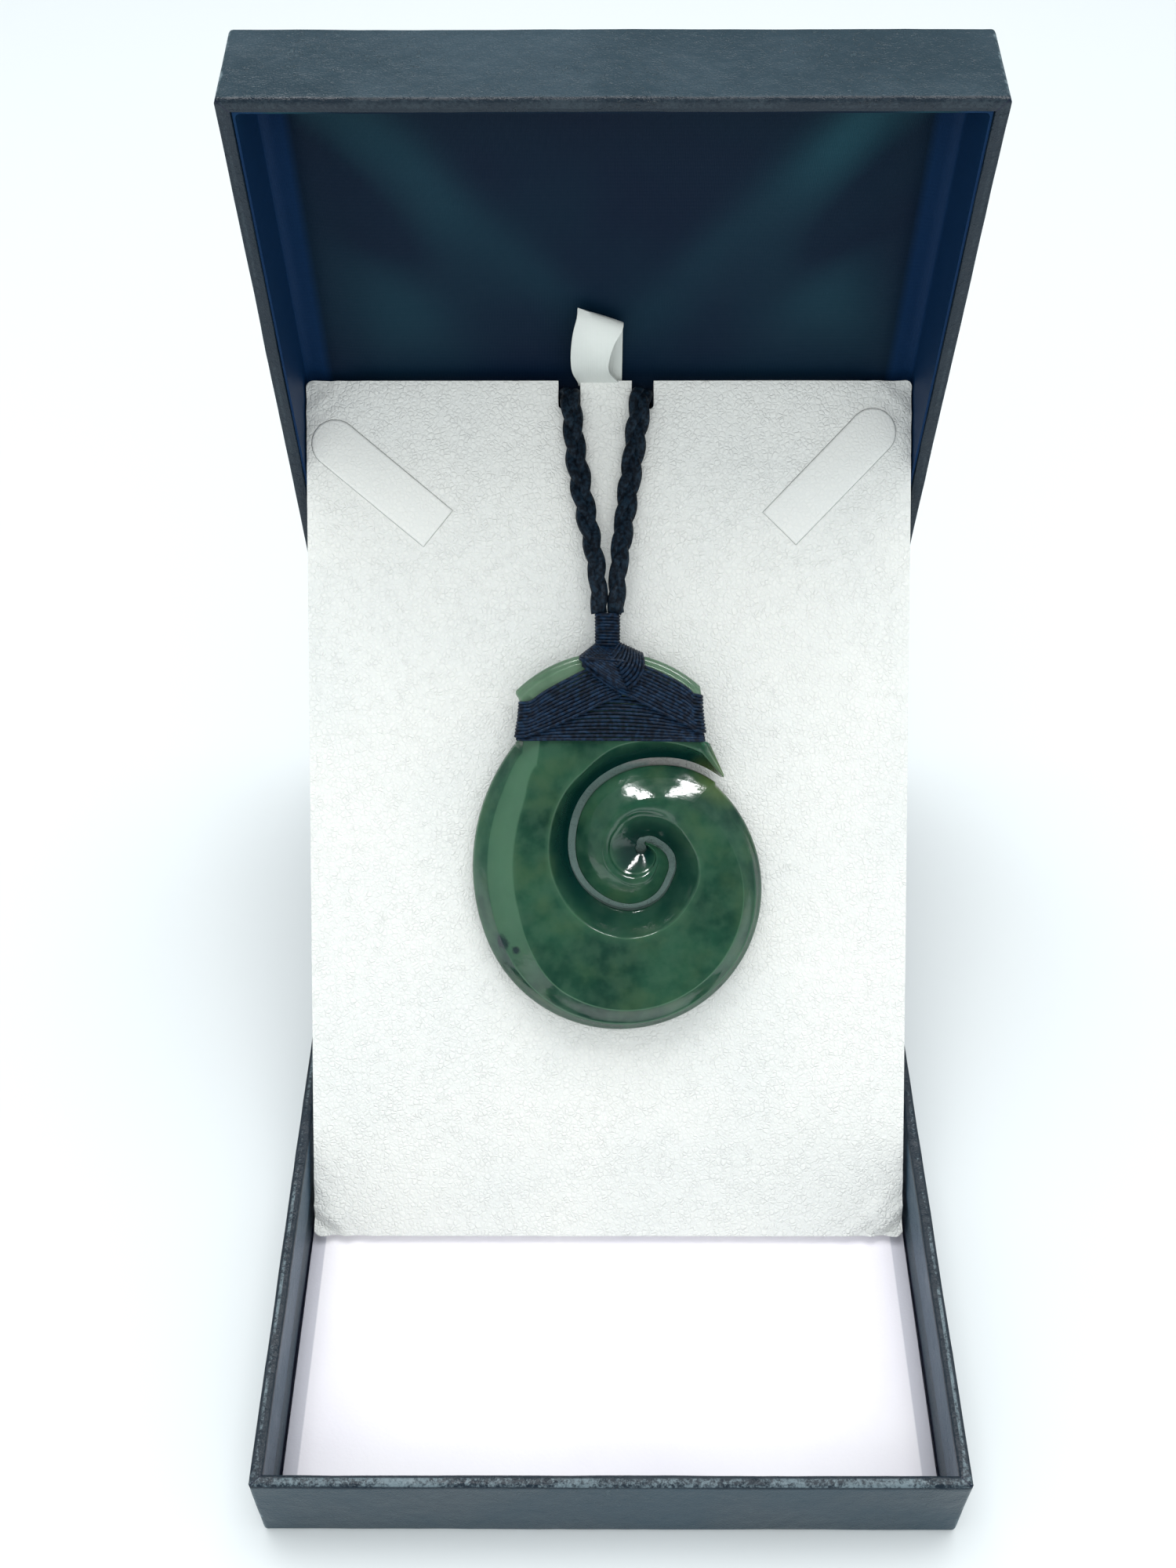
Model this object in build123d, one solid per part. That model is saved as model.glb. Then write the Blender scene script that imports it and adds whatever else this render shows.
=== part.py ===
from build123d import *
import math
import os

# Koru pendant of carved green jade, bound with waxed thread to a plaited cord.
# It lies on a leatherette pad that leans in an open hinged presentation box.
# Millimetres, +Z up, +X to the viewer's right, +Y away from the viewer.
# The origin is the centre of the box base's underside.

# Box base and lid
box_width = 116.4
box_depth = 165.0
base_height = 18.5
lid_height = 18.5
box_wall = 2.1
board_thickness = 1.4
outer_edge_round = 0.8
rim_round = 0.4
tray_floor_thickness = 0.8
tray_floor_gap = 0.2
lid_open_angle = 80.5
hinge_spine_radius = 1.1
hinge_base_gap = 0.1
hinge_lid_gap = 0.3

# Satin lining of the lid, a padded panel with thin walls
lining_wall = 0.4
lining_panel = 1.6
lining_gap = 0.1
lining_rim_setback = 0.5
lining_edge_round = 0.6

# Leaning display pad with two notches for the cord and two cut tongues
pad_side_gap = 0.3
pad_end_gap = 1.0
pad_thickness = 3.0
pad_edge_round = 0.9
pad_corner_round = 1.2
pad_foot_from_front = 52.6
pad_seat_gap = 0.05
pad_lid_gap = 0.3
notch_width = 4.0
notch_depth = 5.1
notch_round = 0.8
notch_left_x = -7.2
notch_right_x = 6.2
tongue_width = 8.6
tongue_length = 28.6
tongue_left_angle = 39.5
tongue_right_angle = 46.0
tongue_root_from_side = 24.0
tongue_root_from_top = 26.8
tongue_thickness = 1.2
tongue_gap = 0.25
tongue_seat_gap = 0.08
tongue_proud = 0.1

# Ribbon loop that lifts the pad, a strip bent in the plane across the box
ribbon_width = 8.0
ribbon_thickness = 0.4
ribbon_height = 16.5
ribbon_centre_x = -1.6
ribbon_back_foot = 2.4
ribbon_front_foot = 1.0
ribbon_bulge = 3.8

# Carved stone, in its own frame: x right, y up the pad, z out of its flat back
stone_x = 2.0
stone_y = 65.9
stone_radius = 26.1
stone_thickness = 8.4
stone_seat_gap = 0.15
flank_offset = 10.7
flank_direction = 23.0
flank_top_y = 26.8
waist_low_y = 27.3
waist_high_y = 33.7
waist_low_half = 15.6
waist_high_half = 15.4
waist_centre_x = -1.7
waist_flare = 1.5
cap_left_x = -18.8
cap_left_y = 36.5
cap_right_x = 14.4
cap_right_y = 37.4
cap_top_y = 43.5
tip_x = 18.9
tip_y = 21.3
tip_shoulder_x = 16.4
tip_shoulder_y = 26.8
back_bevel = 1.3
waist_thickness = 7.7

# Spiral slot that is cut right through, and the groove beside it
spiral_x = 3.9
spiral_y = 7.8
spiral_reach = 18.75
slot_width = 1.35
slot_wall_height = 4.0
pit_radius = 1.0
groove_width = 4.4
bevel_width = 5.0
station_step = 9.0
mouth_turn = 2.6
band_least = 0.5

# Thread lashing round the stone's waist
thread_layer = 0.5
layer_gap = 0.08
knot_layer = 0.7
lashing_low_y = 27.4
lashing_high_y = 33.5
lashing_round = 0.8
wrap_top_y = 40.0
wrap_end_x = 3.4
wrap_end_drop = 4.4
wrap_upper_x = 8.4
wrap_upper_drop = 2.3
wrap_lower_x = 5.6
wrap_lower_drop = 8.2
wrap_foot_rise = 0.1
wrap_shoulder_drop = 0.6
knot_low_y = 36.4
knot_top_y = 44.7
knot_slope_rise = 0.8
knot_inner_rise = 0.2
knot_cap_gap = 0.15
knot_inner_taper = 0.5

# Neck whipping and plaited cord
whipping_width = 5.2
whipping_depth = 3.8
whipping_length = 5.6
whipping_gap = 0.1
whipping_x = -2.2
whipping_z = 2.6
cord_diameter = 3.0
cord_spacing = 3.1
cord_lead = 6.5

# Route of the cord: on the pad (across, up the pad, out of its face), then in the box's own frame
cord_left_front = [(-4.5, 136.2, 1.9), (-6.2, 146.4, 1.85), (-7.2, 157.4, 1.85), (-7.25, 155.2, -4.8)]
cord_hidden = [
    (-8.8, 78.6, 103.0),
    (-9.8, 78.2, 82.0),
    (-11.0, 77.9, 59.0),
    (-13.8, 77.5, 36.5),
    (-20.0, 76.8, 16.5),
    (-33.0, 75.4, 5.0),
    (-46.5, 70.8, 3.9),
    (-52.0, 56.5, 3.85),
    (-51.8, 35.0, 3.9),
    (-51.4, 12.0, 3.85),
    (-47.0, -9.0, 3.9),
    (-32.0, -19.8, 3.85),
    (-10.0, -21.6, 3.9),
    (13.5, -20.9, 3.85),
    (34.5, -18.0, 3.9),
    (48.2, -6.0, 3.85),
    (51.6, 14.5, 3.9),
    (52.0, 37.5, 3.85),
    (51.6, 58.0, 3.9),
    (45.0, 71.8, 3.95),
    (31.0, 75.6, 5.4),
    (18.5, 76.9, 18.0),
    (12.6, 77.6, 38.5),
    (10.0, 78.0, 61.0),
    (8.6, 78.3, 84.0),
    (7.4, 78.7, 104.0),
]
cord_right_front = [(6.15, 155.2, -4.8), (6.1, 157.4, 1.85), (4.6, 146.2, 1.85), (3.3, 136.5, 1.9)]

# Middle of the ribbon's strip, as shares of its height up the lining and its bulge out from it
RIBBON = [
    {"rise": 0.10, "out": 0.00},
    {"rise": 0.45, "out": 0.00},
    {"rise": 0.80, "out": 0.02},
    {"rise": 0.95, "out": 0.10},
    {"rise": 1.00, "out": 0.32},
    {"rise": 0.95, "out": 0.62},
    {"rise": 0.83, "out": 0.87},
    {"rise": 0.62, "out": 1.00},
    {"rise": 0.42, "out": 0.93},
    {"rise": 0.27, "out": 0.66},
    {"rise": 0.15, "out": 0.36},
]

# Slot centreline about the spiral centre: angle in degrees, reach as a share of spiral_reach
SPIRAL = [
    {"angle": 36, "reach": 1.030},
    {"angle": 43, "reach": 1.000},
    {"angle": 63, "reach": 0.927},
    {"angle": 79, "reach": 0.867},
    {"angle": 100, "reach": 0.811},
    {"angle": 131, "reach": 0.752},
    {"angle": 172, "reach": 0.680},
    {"angle": 198, "reach": 0.665},
    {"angle": 229, "reach": 0.630},
    {"angle": 259, "reach": 0.592},
    {"angle": 285, "reach": 0.517},
    {"angle": 312, "reach": 0.408},
    {"angle": 328, "reach": 0.363},
    {"angle": 344, "reach": 0.305},
    {"angle": 362, "reach": 0.226},
    {"angle": 378, "reach": 0.172},
    {"angle": 400, "reach": 0.127},
    {"angle": 425, "reach": 0.083},
    {"angle": 455, "reach": 0.050},
    {"angle": 500, "reach": 0.000},
]

# Outline of the head knot: across from the neck's middle as shares of half the whipping's width,
# down from the knot's top as shares of its height
KNOT = [
    {"across": -1.00, "down": 0.00},
    {"across": 1.00, "down": 0.00},
    {"across": 2.346, "down": 0.28},
    {"across": 2.231, "down": 0.60},
    {"across": 1.846, "down": 0.94},
    {"across": -0.077, "down": 0.735},
    {"across": -1.923, "down": 0.30},
]

# Relief along the carved band: angle, groove and bevel as shares of their widths, heights as
# shares of the thickness, from the ridge by the slot over the dished face and crest to the edge
RELIEF = [
    {"angle": 39, "groove": 0.25, "ridge": 0.74, "face": 0.74, "crest": 0.72, "bevel": 0.20, "edge": 0.50},
    {"angle": 50, "groove": 0.45, "ridge": 0.82, "face": 0.83, "crest": 0.80, "bevel": 0.30, "edge": 0.50},
    {"angle": 62, "groove": 0.60, "ridge": 0.88, "face": 0.90, "crest": 0.88, "bevel": 0.40, "edge": 0.50},
    {"angle": 101, "groove": 0.84, "ridge": 0.90, "face": 0.91, "crest": 0.90, "bevel": 0.70, "edge": 0.46},
    {"angle": 130, "groove": 0.66, "ridge": 0.92, "face": 0.91, "crest": 0.90, "bevel": 0.72, "edge": 0.44},
    {"angle": 139, "groove": 0.70, "ridge": 0.93, "face": 0.92, "crest": 0.91, "bevel": 0.80, "edge": 0.42},
    {"angle": 142, "groove": 0.72, "ridge": 0.94, "face": 0.93, "crest": 0.92, "bevel": 1.08, "edge": 0.41},
    {"angle": 156, "groove": 0.76, "ridge": 0.94, "face": 0.95, "crest": 0.95, "bevel": 1.40, "edge": 0.40},
    {"angle": 205, "groove": 0.84, "ridge": 0.94, "face": 0.95, "crest": 0.95, "bevel": 1.50, "edge": 0.38},
    {"angle": 222, "groove": 0.92, "ridge": 0.94, "face": 0.93, "crest": 0.95, "bevel": 1.35, "edge": 0.37},
    {"angle": 240, "groove": 1.00, "ridge": 0.94, "face": 0.89, "crest": 0.95, "bevel": 0.98, "edge": 0.35},
    {"angle": 281, "groove": 1.00, "ridge": 0.94, "face": 0.87, "crest": 0.95, "bevel": 0.90, "edge": 0.34},
    {"angle": 330, "groove": 1.00, "ridge": 0.94, "face": 0.93, "crest": 0.94, "bevel": 0.80, "edge": 0.38},
    {"angle": 367, "groove": 1.00, "ridge": 0.93, "face": 0.96, "crest": 0.96, "bevel": 0.90, "edge": 0.44},
    {"angle": 388, "groove": 1.05, "ridge": 0.92, "face": 0.97, "crest": 0.97, "bevel": 1.00, "edge": 0.46},
    {"angle": 426, "groove": 1.04, "ridge": 0.88, "face": 1.00, "crest": 0.97, "bevel": 1.15, "edge": 0.50},
    {"angle": 479, "groove": 1.06, "ridge": 0.84, "face": 0.97, "crest": 0.94, "bevel": 1.10, "edge": 0.50},
    {"angle": 520, "groove": 1.08, "ridge": 0.80, "face": 0.92, "crest": 0.90, "bevel": 1.00, "edge": 0.48},
    {"angle": 575, "groove": 0.98, "ridge": 0.75, "face": 0.86, "crest": 0.83, "bevel": 0.90, "edge": 0.48},
    {"angle": 650, "groove": 0.64, "ridge": 0.66, "face": 0.74, "crest": 0.70, "bevel": 0.60, "edge": 0.46},
    {"angle": 700, "groove": 0.40, "ridge": 0.60, "face": 0.64, "crest": 0.60, "bevel": 0.40, "edge": 0.44},
    {"angle": 770, "groove": 0.10, "ridge": 0.50, "face": 0.52, "crest": 0.52, "bevel": 0.16, "edge": 0.44},
]

# Sizes and places that follow from the ones above
inner_width = box_width - 2 * box_wall
inner_depth = box_depth - 2 * box_wall
floor_z = board_thickness + tray_floor_thickness
hinge_y = box_depth / 2
hinge_z = base_height
hinge_axis = Axis((0, hinge_y, hinge_z), (1, 0, 0))
pad_width = inner_width - 2 * (lining_gap + lining_wall + pad_side_gap)
pad_height = inner_depth - 2 * pad_end_gap
tongue_root_x = pad_width / 2 - tongue_root_from_side
tongue_root_y = pad_height - tongue_root_from_top
pad_foot_y = box_wall + pad_foot_from_front - box_depth / 2
pad_foot_z = floor_z + pad_seat_gap
lining_face = lid_height - board_thickness - lining_gap - lining_panel
layer_pitch = layer_gap + thread_layer
lashing_stack = 3 * layer_pitch + layer_gap + knot_layer
whipping_low_y = knot_top_y + whipping_gap
whipping_top_y = whipping_low_y + whipping_length
rest_reach = stone_radius - back_bevel


def pad_lean():
    """Angle of the pad from the vertical at which its top back edge rests on the lid's lining."""
    opening = math.radians(lid_open_angle)
    reach = lining_face - pad_lid_gap
    reach -= (pad_foot_y - hinge_y) * math.sin(opening)
    reach -= (pad_foot_z - hinge_z) * math.cos(opening)
    return opening - math.acos(reach / pad_height)


lean = pad_lean()
pad_out = Vector(0, -math.cos(lean), math.sin(lean))
pad_origin = Vector(0, pad_foot_y, pad_foot_z) + pad_out * pad_thickness
pad_plane = Plane(origin=pad_origin, x_dir=(1, 0, 0), z_dir=pad_out)

# The lashing behind the stone's waist lifts that end of the stone off the pad
stone_tilt = math.degrees(math.asin(lashing_stack / (knot_low_y + rest_reach)))
stone_lift = stone_seat_gap + rest_reach * math.sin(math.radians(stone_tilt))
stone_place = pad_plane.location * Location((stone_x, stone_y, stone_lift), (stone_tilt, 0, 0))


def on_pad(point):
    """A point given across the pad, up the pad and out of its face, in the box's frame."""
    return pad_plane.from_local_coords(Vector(point))


def on_stone(point):
    """A point given in the stone's frame, in the box's frame."""
    return (stone_place * Location(point)).position


def open_lid(shape):
    """Turns a closed lid piece to its open rest."""
    return shape.rotate(hinge_axis, -lid_open_angle)


def hinge_cylinder(radius):
    return Pos(0, hinge_y, hinge_z) * Rot(0, 90, 0) * Cylinder(radius, box_width)


def box_half(height, hinge_gap):
    """An open tray of the box's outer size, mouth upwards, with room for the hinge at its back rim."""
    outer = Pos(0, 0, height / 2) * Box(box_width, box_depth, height)
    outer = fillet(outer.edges().filter_by(Axis.Z), outer_edge_round)
    outer = fillet(outer.faces().sort_by(Axis.Z)[0].edges(), outer_edge_round)
    pocket = Pos(0, 0, board_thickness + height / 2) * Box(inner_width, inner_depth, height)
    tray = outer - pocket
    tray = fillet(tray.faces().sort_by(Axis.Z)[-1].edges(), rim_round)
    relief = Cylinder(hinge_spine_radius + hinge_gap, box_width * 1.1)
    return tray - Pos(0, hinge_y, height) * Rot(0, 90, 0) * relief


def base_shell():
    return box_half(base_height, hinge_base_gap)


def lid_shell():
    closed = mirror(box_half(lid_height, hinge_lid_gap), about=Plane.XY)
    return open_lid(Pos(0, 0, hinge_z + lid_height) * closed)


def hinge_spine():
    return hinge_cylinder(hinge_spine_radius)


def tray_floor():
    card = Box(inner_width - 2 * tray_floor_gap, inner_depth - 2 * tray_floor_gap, tray_floor_thickness)
    return Pos(0, 0, board_thickness + tray_floor_thickness / 2) * card


def lid_lining():
    """Padded panel against the lid's board, with a thin satin wall that stops short of the rim."""
    outer_x = inner_width - 2 * lining_gap
    outer_y = inner_depth - 2 * lining_gap
    outer_z = lid_height - board_thickness - lining_gap - lining_rim_setback
    low_z = hinge_z + lining_rim_setback
    block = Pos(0, 0, low_z + outer_z / 2) * Box(outer_x, outer_y, outer_z)
    hollow_z = outer_z - lining_panel
    hollow = Box(outer_x - 2 * lining_wall, outer_y - 2 * lining_wall, hollow_z)
    hollow = fillet(hollow.faces().sort_by(Axis.Z)[-1].edges(), lining_edge_round)
    return open_lid(block - Pos(0, 0, low_z + hollow_z / 2) * hollow)


def notch(centre_x):
    """Cutter for one cord notch in the pad's top edge."""
    block = Box(notch_width, 2 * notch_depth, 2 * pad_thickness)
    cutter = Pos(centre_x, pad_height, -pad_thickness / 2) * block
    low_edges = cutter.edges().filter_by(Axis.Z).sort_by(Axis.Y)[:2]
    return fillet(low_edges, notch_round)


def tongue_shape(side, grow):
    """Face of a cut tongue: square at its root, round at its free end near the pad's corner."""
    half = tongue_width / 2 + grow
    straight = tongue_length - tongue_width / 2
    bar = Pos(straight / 2 - grow / 2, 0) * Rectangle(straight + grow, 2 * half)
    shape = bar + Pos(straight, 0) * Circle(half)
    turn = tongue_right_angle if side > 0 else 180 - tongue_left_angle
    place = Location((side * tongue_root_x, tongue_root_y, 0), (0, 0, turn))
    return place * shape


def pad_tongue(side):
    sheet = extrude(tongue_shape(side, 0), tongue_thickness)
    return pad_plane.location * Pos(0, 0, tongue_proud - tongue_thickness) * sheet


def display_pad():
    board = Pos(0, pad_height / 2, -pad_thickness / 2) * Box(pad_width, pad_height, pad_thickness)
    board = fillet(board.edges().filter_by(Axis.Z), pad_corner_round)
    board = fillet(board.faces().sort_by(Axis.Z)[-1].edges(), pad_edge_round)
    board -= notch(notch_left_x) + notch(notch_right_x)
    depth = tongue_thickness - tongue_proud + tongue_seat_gap
    for side in (-1, 1):
        board -= Pos(0, 0, -depth) * extrude(tongue_shape(side, tongue_gap), 2 * depth)
    return pad_plane.location * board


def ribbon_loop():
    """A thin strip that leaves the pad's top edge, follows the lining up and folds back down."""
    opening = math.radians(lid_open_angle)
    up = Vector(0, -math.cos(opening), math.sin(opening))
    out = Vector(0, -math.sin(opening), -math.cos(opening))
    start = on_pad((0, pad_height, -ribbon_back_foot))
    middle = [start]
    for row in RIBBON:
        middle.append(start + up * (ribbon_height * row["rise"]) + out * (ribbon_bulge * row["out"]))
    middle.append(on_pad((0, pad_height, -ribbon_front_foot)))
    back_side, front_side = [], []
    for number, point in enumerate(middle):
        before = middle[max(number - 1, 0)]
        after = middle[min(number + 1, len(middle) - 1)]
        along = (after - before).normalized()
        across = Vector(0, -along.Z, along.Y) * (ribbon_thickness / 2)
        back_side.append(point - across)
        front_side.append(point + across)
    edges = [
        Spline(*front_side),
        Line(front_side[-1], back_side[-1]),
        Spline(*reversed(back_side)),
        Line(back_side[0], front_side[0]),
    ]
    strip = extrude(Face(Wire(edges)), ribbon_width / 2, dir=(1, 0, 0), both=True)
    below = pad_plane.location * Pos(0, pad_height / 2, 0) * Box(pad_width, pad_height, 4 * pad_thickness)
    return Pos(ribbon_centre_x, 0, 0) * (strip - below)


def smooth(rows, column, angle):
    """Value of a table's column at an angle, on a curve through the rows that never overshoots."""
    spots = [row["angle"] for row in rows]
    values = [row[column] for row in rows]
    if angle <= spots[0]:
        return values[0]
    if angle >= spots[-1]:
        return values[-1]
    slopes = [(values[n + 1] - values[n]) / (spots[n + 1] - spots[n]) for n in range(len(rows) - 1)]
    tangents = [slopes[0]]
    for left, right in zip(slopes, slopes[1:]):
        tangents.append(0.0 if left * right <= 0 else 2 * left * right / (left + right))
    tangents.append(slopes[-1])
    n = max(k for k in range(len(rows) - 1) if spots[k] <= angle)
    span = spots[n + 1] - spots[n]
    t = (angle - spots[n]) / span
    start = values[n] * (1 + 2 * t) * (1 - t) ** 2 + tangents[n] * span * t * (1 - t) ** 2
    end = values[n + 1] * t * t * (3 - 2 * t) + tangents[n + 1] * span * t * t * (t - 1)
    return start + end


def arc_points(centre, radius, start, end, count):
    """Points along an arc, angles in degrees."""
    found = []
    for number in range(count + 1):
        angle = math.radians(start + (end - start) * number / count)
        found.append((centre[0] + radius * math.cos(angle), centre[1] + radius * math.sin(angle)))
    return found


def cap_points(count):
    """Points along the arc of the stone's top, from its right corner to its left one."""
    crown = ThreePointArc((cap_right_x, cap_right_y), (whipping_x, cap_top_y), (cap_left_x, cap_left_y))
    return [((crown @ (number / count)).X, (crown @ (number / count)).Y) for number in range(count + 1)]


def stone_outline():
    """Outline from the pointed tip round the cap, flank and body to the slot's mouth, anticlockwise."""
    turn = math.radians(flank_direction)
    flank_centre = (flank_offset * math.cos(turn), flank_offset * math.sin(turn))
    flank_radius = stone_radius + flank_offset
    flank_start = math.degrees(math.pi - math.asin((flank_top_y - flank_centre[1]) / flank_radius))
    mouth = math.degrees(math.atan2(tip_y, tip_x)) + mouth_turn
    points = [(tip_x, tip_y), (tip_shoulder_x, tip_shoulder_y)]
    points += cap_points(10)
    points += arc_points(flank_centre, flank_radius, flank_start, 180 + flank_direction, 10)
    points += arc_points((0, 0), stone_radius, 180 + flank_direction, 360 + mouth, 28)[1:]
    return points


def polar_outline():
    """The outline as rising angles about the spiral centre, with the reach at each."""
    rows = []
    for x, y in stone_outline():
        angle = math.degrees(math.atan2(y - spiral_y, x - spiral_x))
        if rows and angle < rows[-1][0]:
            angle += 360
        rows.append((angle, math.hypot(x - spiral_x, y - spiral_y)))
    return rows


def outline_reach(rows, angle):
    """Distance from the spiral centre to the outline at an angle, along the straight piece it meets."""
    for (a0, r0), (a1, r1) in zip(rows, rows[1:]):
        if a0 <= angle <= a1:
            turn, part = math.radians(a1 - a0), math.radians(angle - a0)
            return r0 * r1 * math.sin(turn) / (r1 * math.sin(turn - part) + r0 * math.sin(part))
    return rows[-1][1]


def slot_edge(angle, side):
    """Reach of the slot's outer (side 1) or inner (side -1) edge, square to its centreline."""
    reach = spiral_reach * smooth(SPIRAL, "reach", angle)
    step = 1.0
    ahead = spiral_reach * smooth(SPIRAL, "reach", angle + step)
    slope = (ahead - reach) / math.radians(step) / max(reach, pit_radius)
    return reach + side * slot_width / 2 * math.sqrt(1 + min(slope, 0.0) ** 2)


def band_section(rows, angle, first):
    """One upright section of the carved band, as (distance from the spiral centre, height) pairs."""
    inner = max(pit_radius, slot_edge(angle, 1))
    if angle < 360 + first:
        outer = outline_reach(rows, angle)
    else:
        outer = slot_edge(angle - 360, -1)
    outer = max(outer, inner + band_least)
    width = outer - inner
    groove = groove_width * smooth(RELIEF, "groove", angle)
    bevel = bevel_width * smooth(RELIEF, "bevel", angle)
    fit = min(1.0, 0.86 * width / (groove + bevel))
    groove, bevel = groove * fit, bevel * fit
    ridge = stone_thickness * smooth(RELIEF, "ridge", angle)
    face = stone_thickness * smooth(RELIEF, "face", angle)
    crest = stone_thickness * smooth(RELIEF, "crest", angle)
    edge = stone_thickness * smooth(RELIEF, "edge", angle)
    wall = min(slot_wall_height, 0.9 * ridge)
    under = min(back_bevel, 0.3 * width)
    middle = (inner + groove + outer - bevel) / 2
    return [
        (inner, 0),
        (inner, wall),
        (inner + 0.5 * groove, wall + 0.36 * (ridge - wall)),
        (inner + groove, ridge),
        (middle, face),
        (outer - bevel, crest),
        (outer - 0.4 * bevel, edge + 0.62 * (crest - edge)),
        (outer, edge),
        (outer, back_bevel),
        (outer - under, 0),
    ]


def carved_band():
    """The stone as one carved band that winds round its cap, flank and body into the spiral."""
    rows = polar_outline()
    first, last = rows[0][0], RELIEF[-1]["angle"]
    stations = [angle for angle, reach in rows if angle < 150]
    stations = sorted(stations + [first + 3, first + 8])
    angle = stations[-1]
    while angle < last - station_step:
        angle += station_step
        stations.append(angle)
    stations.append(last)
    sections = []
    for angle in stations:
        turn = math.radians(angle)
        points = []
        for reach, height in band_section(rows, angle, first):
            points.append((spiral_x + reach * math.cos(turn), spiral_y + reach * math.sin(turn), height))
        sections.append(points)
    return banded_solid(sections)


def banded_solid(sections):
    """Closed solid of flat triangles through a row of sections with equal numbers of points."""
    count = len(sections[0])
    faces = []
    for near, far in zip(sections, sections[1:]):
        for number in range(count):
            after = (number + 1) % count
            faces.append(Face(Wire.make_polygon([near[number], near[after], far[after]])))
            faces.append(Face(Wire.make_polygon([near[number], far[after], far[number]])))
    for ends in (sections[0], sections[-1]):
        faces.append(Face(Wire.make_polygon(ends)))
    solid = Solid(Shell(faces))
    return solid if solid.volume > 0 else -solid


def waist_section(height, offset):
    """Rounded section of the waist at a height in the stone's frame, grown by an offset."""
    share = (height - waist_low_y) / (waist_high_y - waist_low_y)
    half = waist_low_half + (waist_high_half - waist_low_half) * share + offset
    middle = Plane(origin=(waist_centre_x, height, waist_thickness / 2), x_dir=(1, 0, 0), z_dir=(0, 1, 0))
    return middle * RectangleRounded(2 * half, waist_thickness + 2 * offset, lashing_round + offset)


def waist_body(offset, low, high):
    return loft([waist_section(low, offset), waist_section(high, offset)], ruled=True)


def through(outline):
    """The outline of a lashing piece carried right through the stone's thickness."""
    reach = waist_thickness + 4 * lashing_stack
    return Pos(0, 0, waist_thickness / 2) * extrude(outline, reach / 2, both=True)


def waist_cut():
    """What is carved away round the waist, so that the thread lies in a step."""
    low, high = waist_low_y, waist_high_y
    zone = Box(4 * stone_radius, high - low, 4 * waist_thickness)
    zone = Pos(0, (low + high) / 2, waist_thickness / 2) * zone
    cut = zone - waist_body(0, low - 1, high + 1)
    for side in (-1, 1):
        edge = waist_centre_x + side * waist_high_half
        flare = Polyline(
            (edge, high),
            (edge + side * waist_flare, high + waist_flare),
            (edge + side * stone_radius, high + waist_flare),
            (edge + side * stone_radius, high),
            close=True,
        )
        cut += through(Face(Wire(flare)))
    return cut


def koru_stone():
    return stone_place * (carved_band() - waist_cut())


def thread_shell(layer, low, high):
    """One layer of wound thread round the waist, between two heights."""
    inside = layer * layer_pitch + layer_gap
    return waist_body(inside + thread_layer, low, high) - waist_body(inside, low - 1, high + 1)


def lashing_turns():
    return stone_place * thread_shell(0, lashing_low_y, lashing_high_y)


def diagonal_wrap(side, layer):
    """A band of thread from the foot of one side of the waist up to the head knot."""
    edge = waist_centre_x + side * (waist_low_half + lashing_stack)
    foot = (edge, lashing_low_y + wrap_foot_rise)
    shoulder = (edge, lashing_high_y - wrap_shoulder_drop)
    high_end = (waist_centre_x - side * wrap_end_x, wrap_top_y)
    low_end = (waist_centre_x - side * wrap_end_x, wrap_top_y - wrap_end_drop)
    upper_middle = (waist_centre_x + side * wrap_upper_x, wrap_top_y - wrap_upper_drop)
    lower_middle = (waist_centre_x + side * wrap_lower_x, wrap_top_y - wrap_lower_drop)
    upper = ThreePointArc(shoulder, upper_middle, high_end)
    lower = ThreePointArc(low_end, lower_middle, foot)
    outline = Face(Wire([upper, Line(high_end, low_end), lower, Line(foot, shoulder)]))
    band = thread_shell(layer, lashing_low_y, wrap_top_y)
    return stone_place * (band & through(outline))


def knot_profile(grow, slope_y, top_y, top_half):
    """Side view of the knot or of what it binds: flat front and back, narrowing to the top."""
    front, back = waist_thickness + grow, -grow
    top_back, top_front = whipping_z - top_half, whipping_z + top_half
    corners = [
        (0, knot_low_y - 1 - grow, back),
        (0, slope_y, back),
        (0, top_y, top_back),
        (0, top_y, top_front),
        (0, slope_y, front),
        (0, knot_low_y - 1 - grow, front),
    ]
    return extrude(Face(Wire.make_polygon(corners)), stone_radius, dir=(1, 0, 0), both=True)


def head_knot():
    """Knot that gathers the wraps over the stone's top edge, cut clear of what it binds."""
    corners = []
    for row in KNOT:
        x = whipping_x + row["across"] * whipping_width / 2
        corners.append((x, knot_top_y - row["down"] * (knot_top_y - knot_low_y)))
    outline = Face(Wire.make_polygon(corners))
    inside = lashing_stack - knot_layer
    top_half = whipping_depth / 2
    knot = knot_profile(lashing_stack, wrap_top_y + knot_slope_rise, knot_top_y, top_half)
    bound_slope, bound_top = wrap_top_y + knot_inner_rise, cap_top_y + knot_cap_gap
    bound = knot_profile(inside, bound_slope, bound_top, top_half + knot_inner_taper)
    return stone_place * ((knot - bound) & through(outline))


def neck_whipping():
    """Tight winding that holds the two ends of the cord, oval in section."""
    foot = Plane(origin=(whipping_x, whipping_low_y, whipping_z), x_dir=(1, 0, 0), z_dir=(0, 1, 0))
    oval = foot * RectangleRounded(whipping_width, whipping_depth, whipping_depth / 2 - 0.05)
    return stone_place * extrude(oval, whipping_length)


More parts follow.
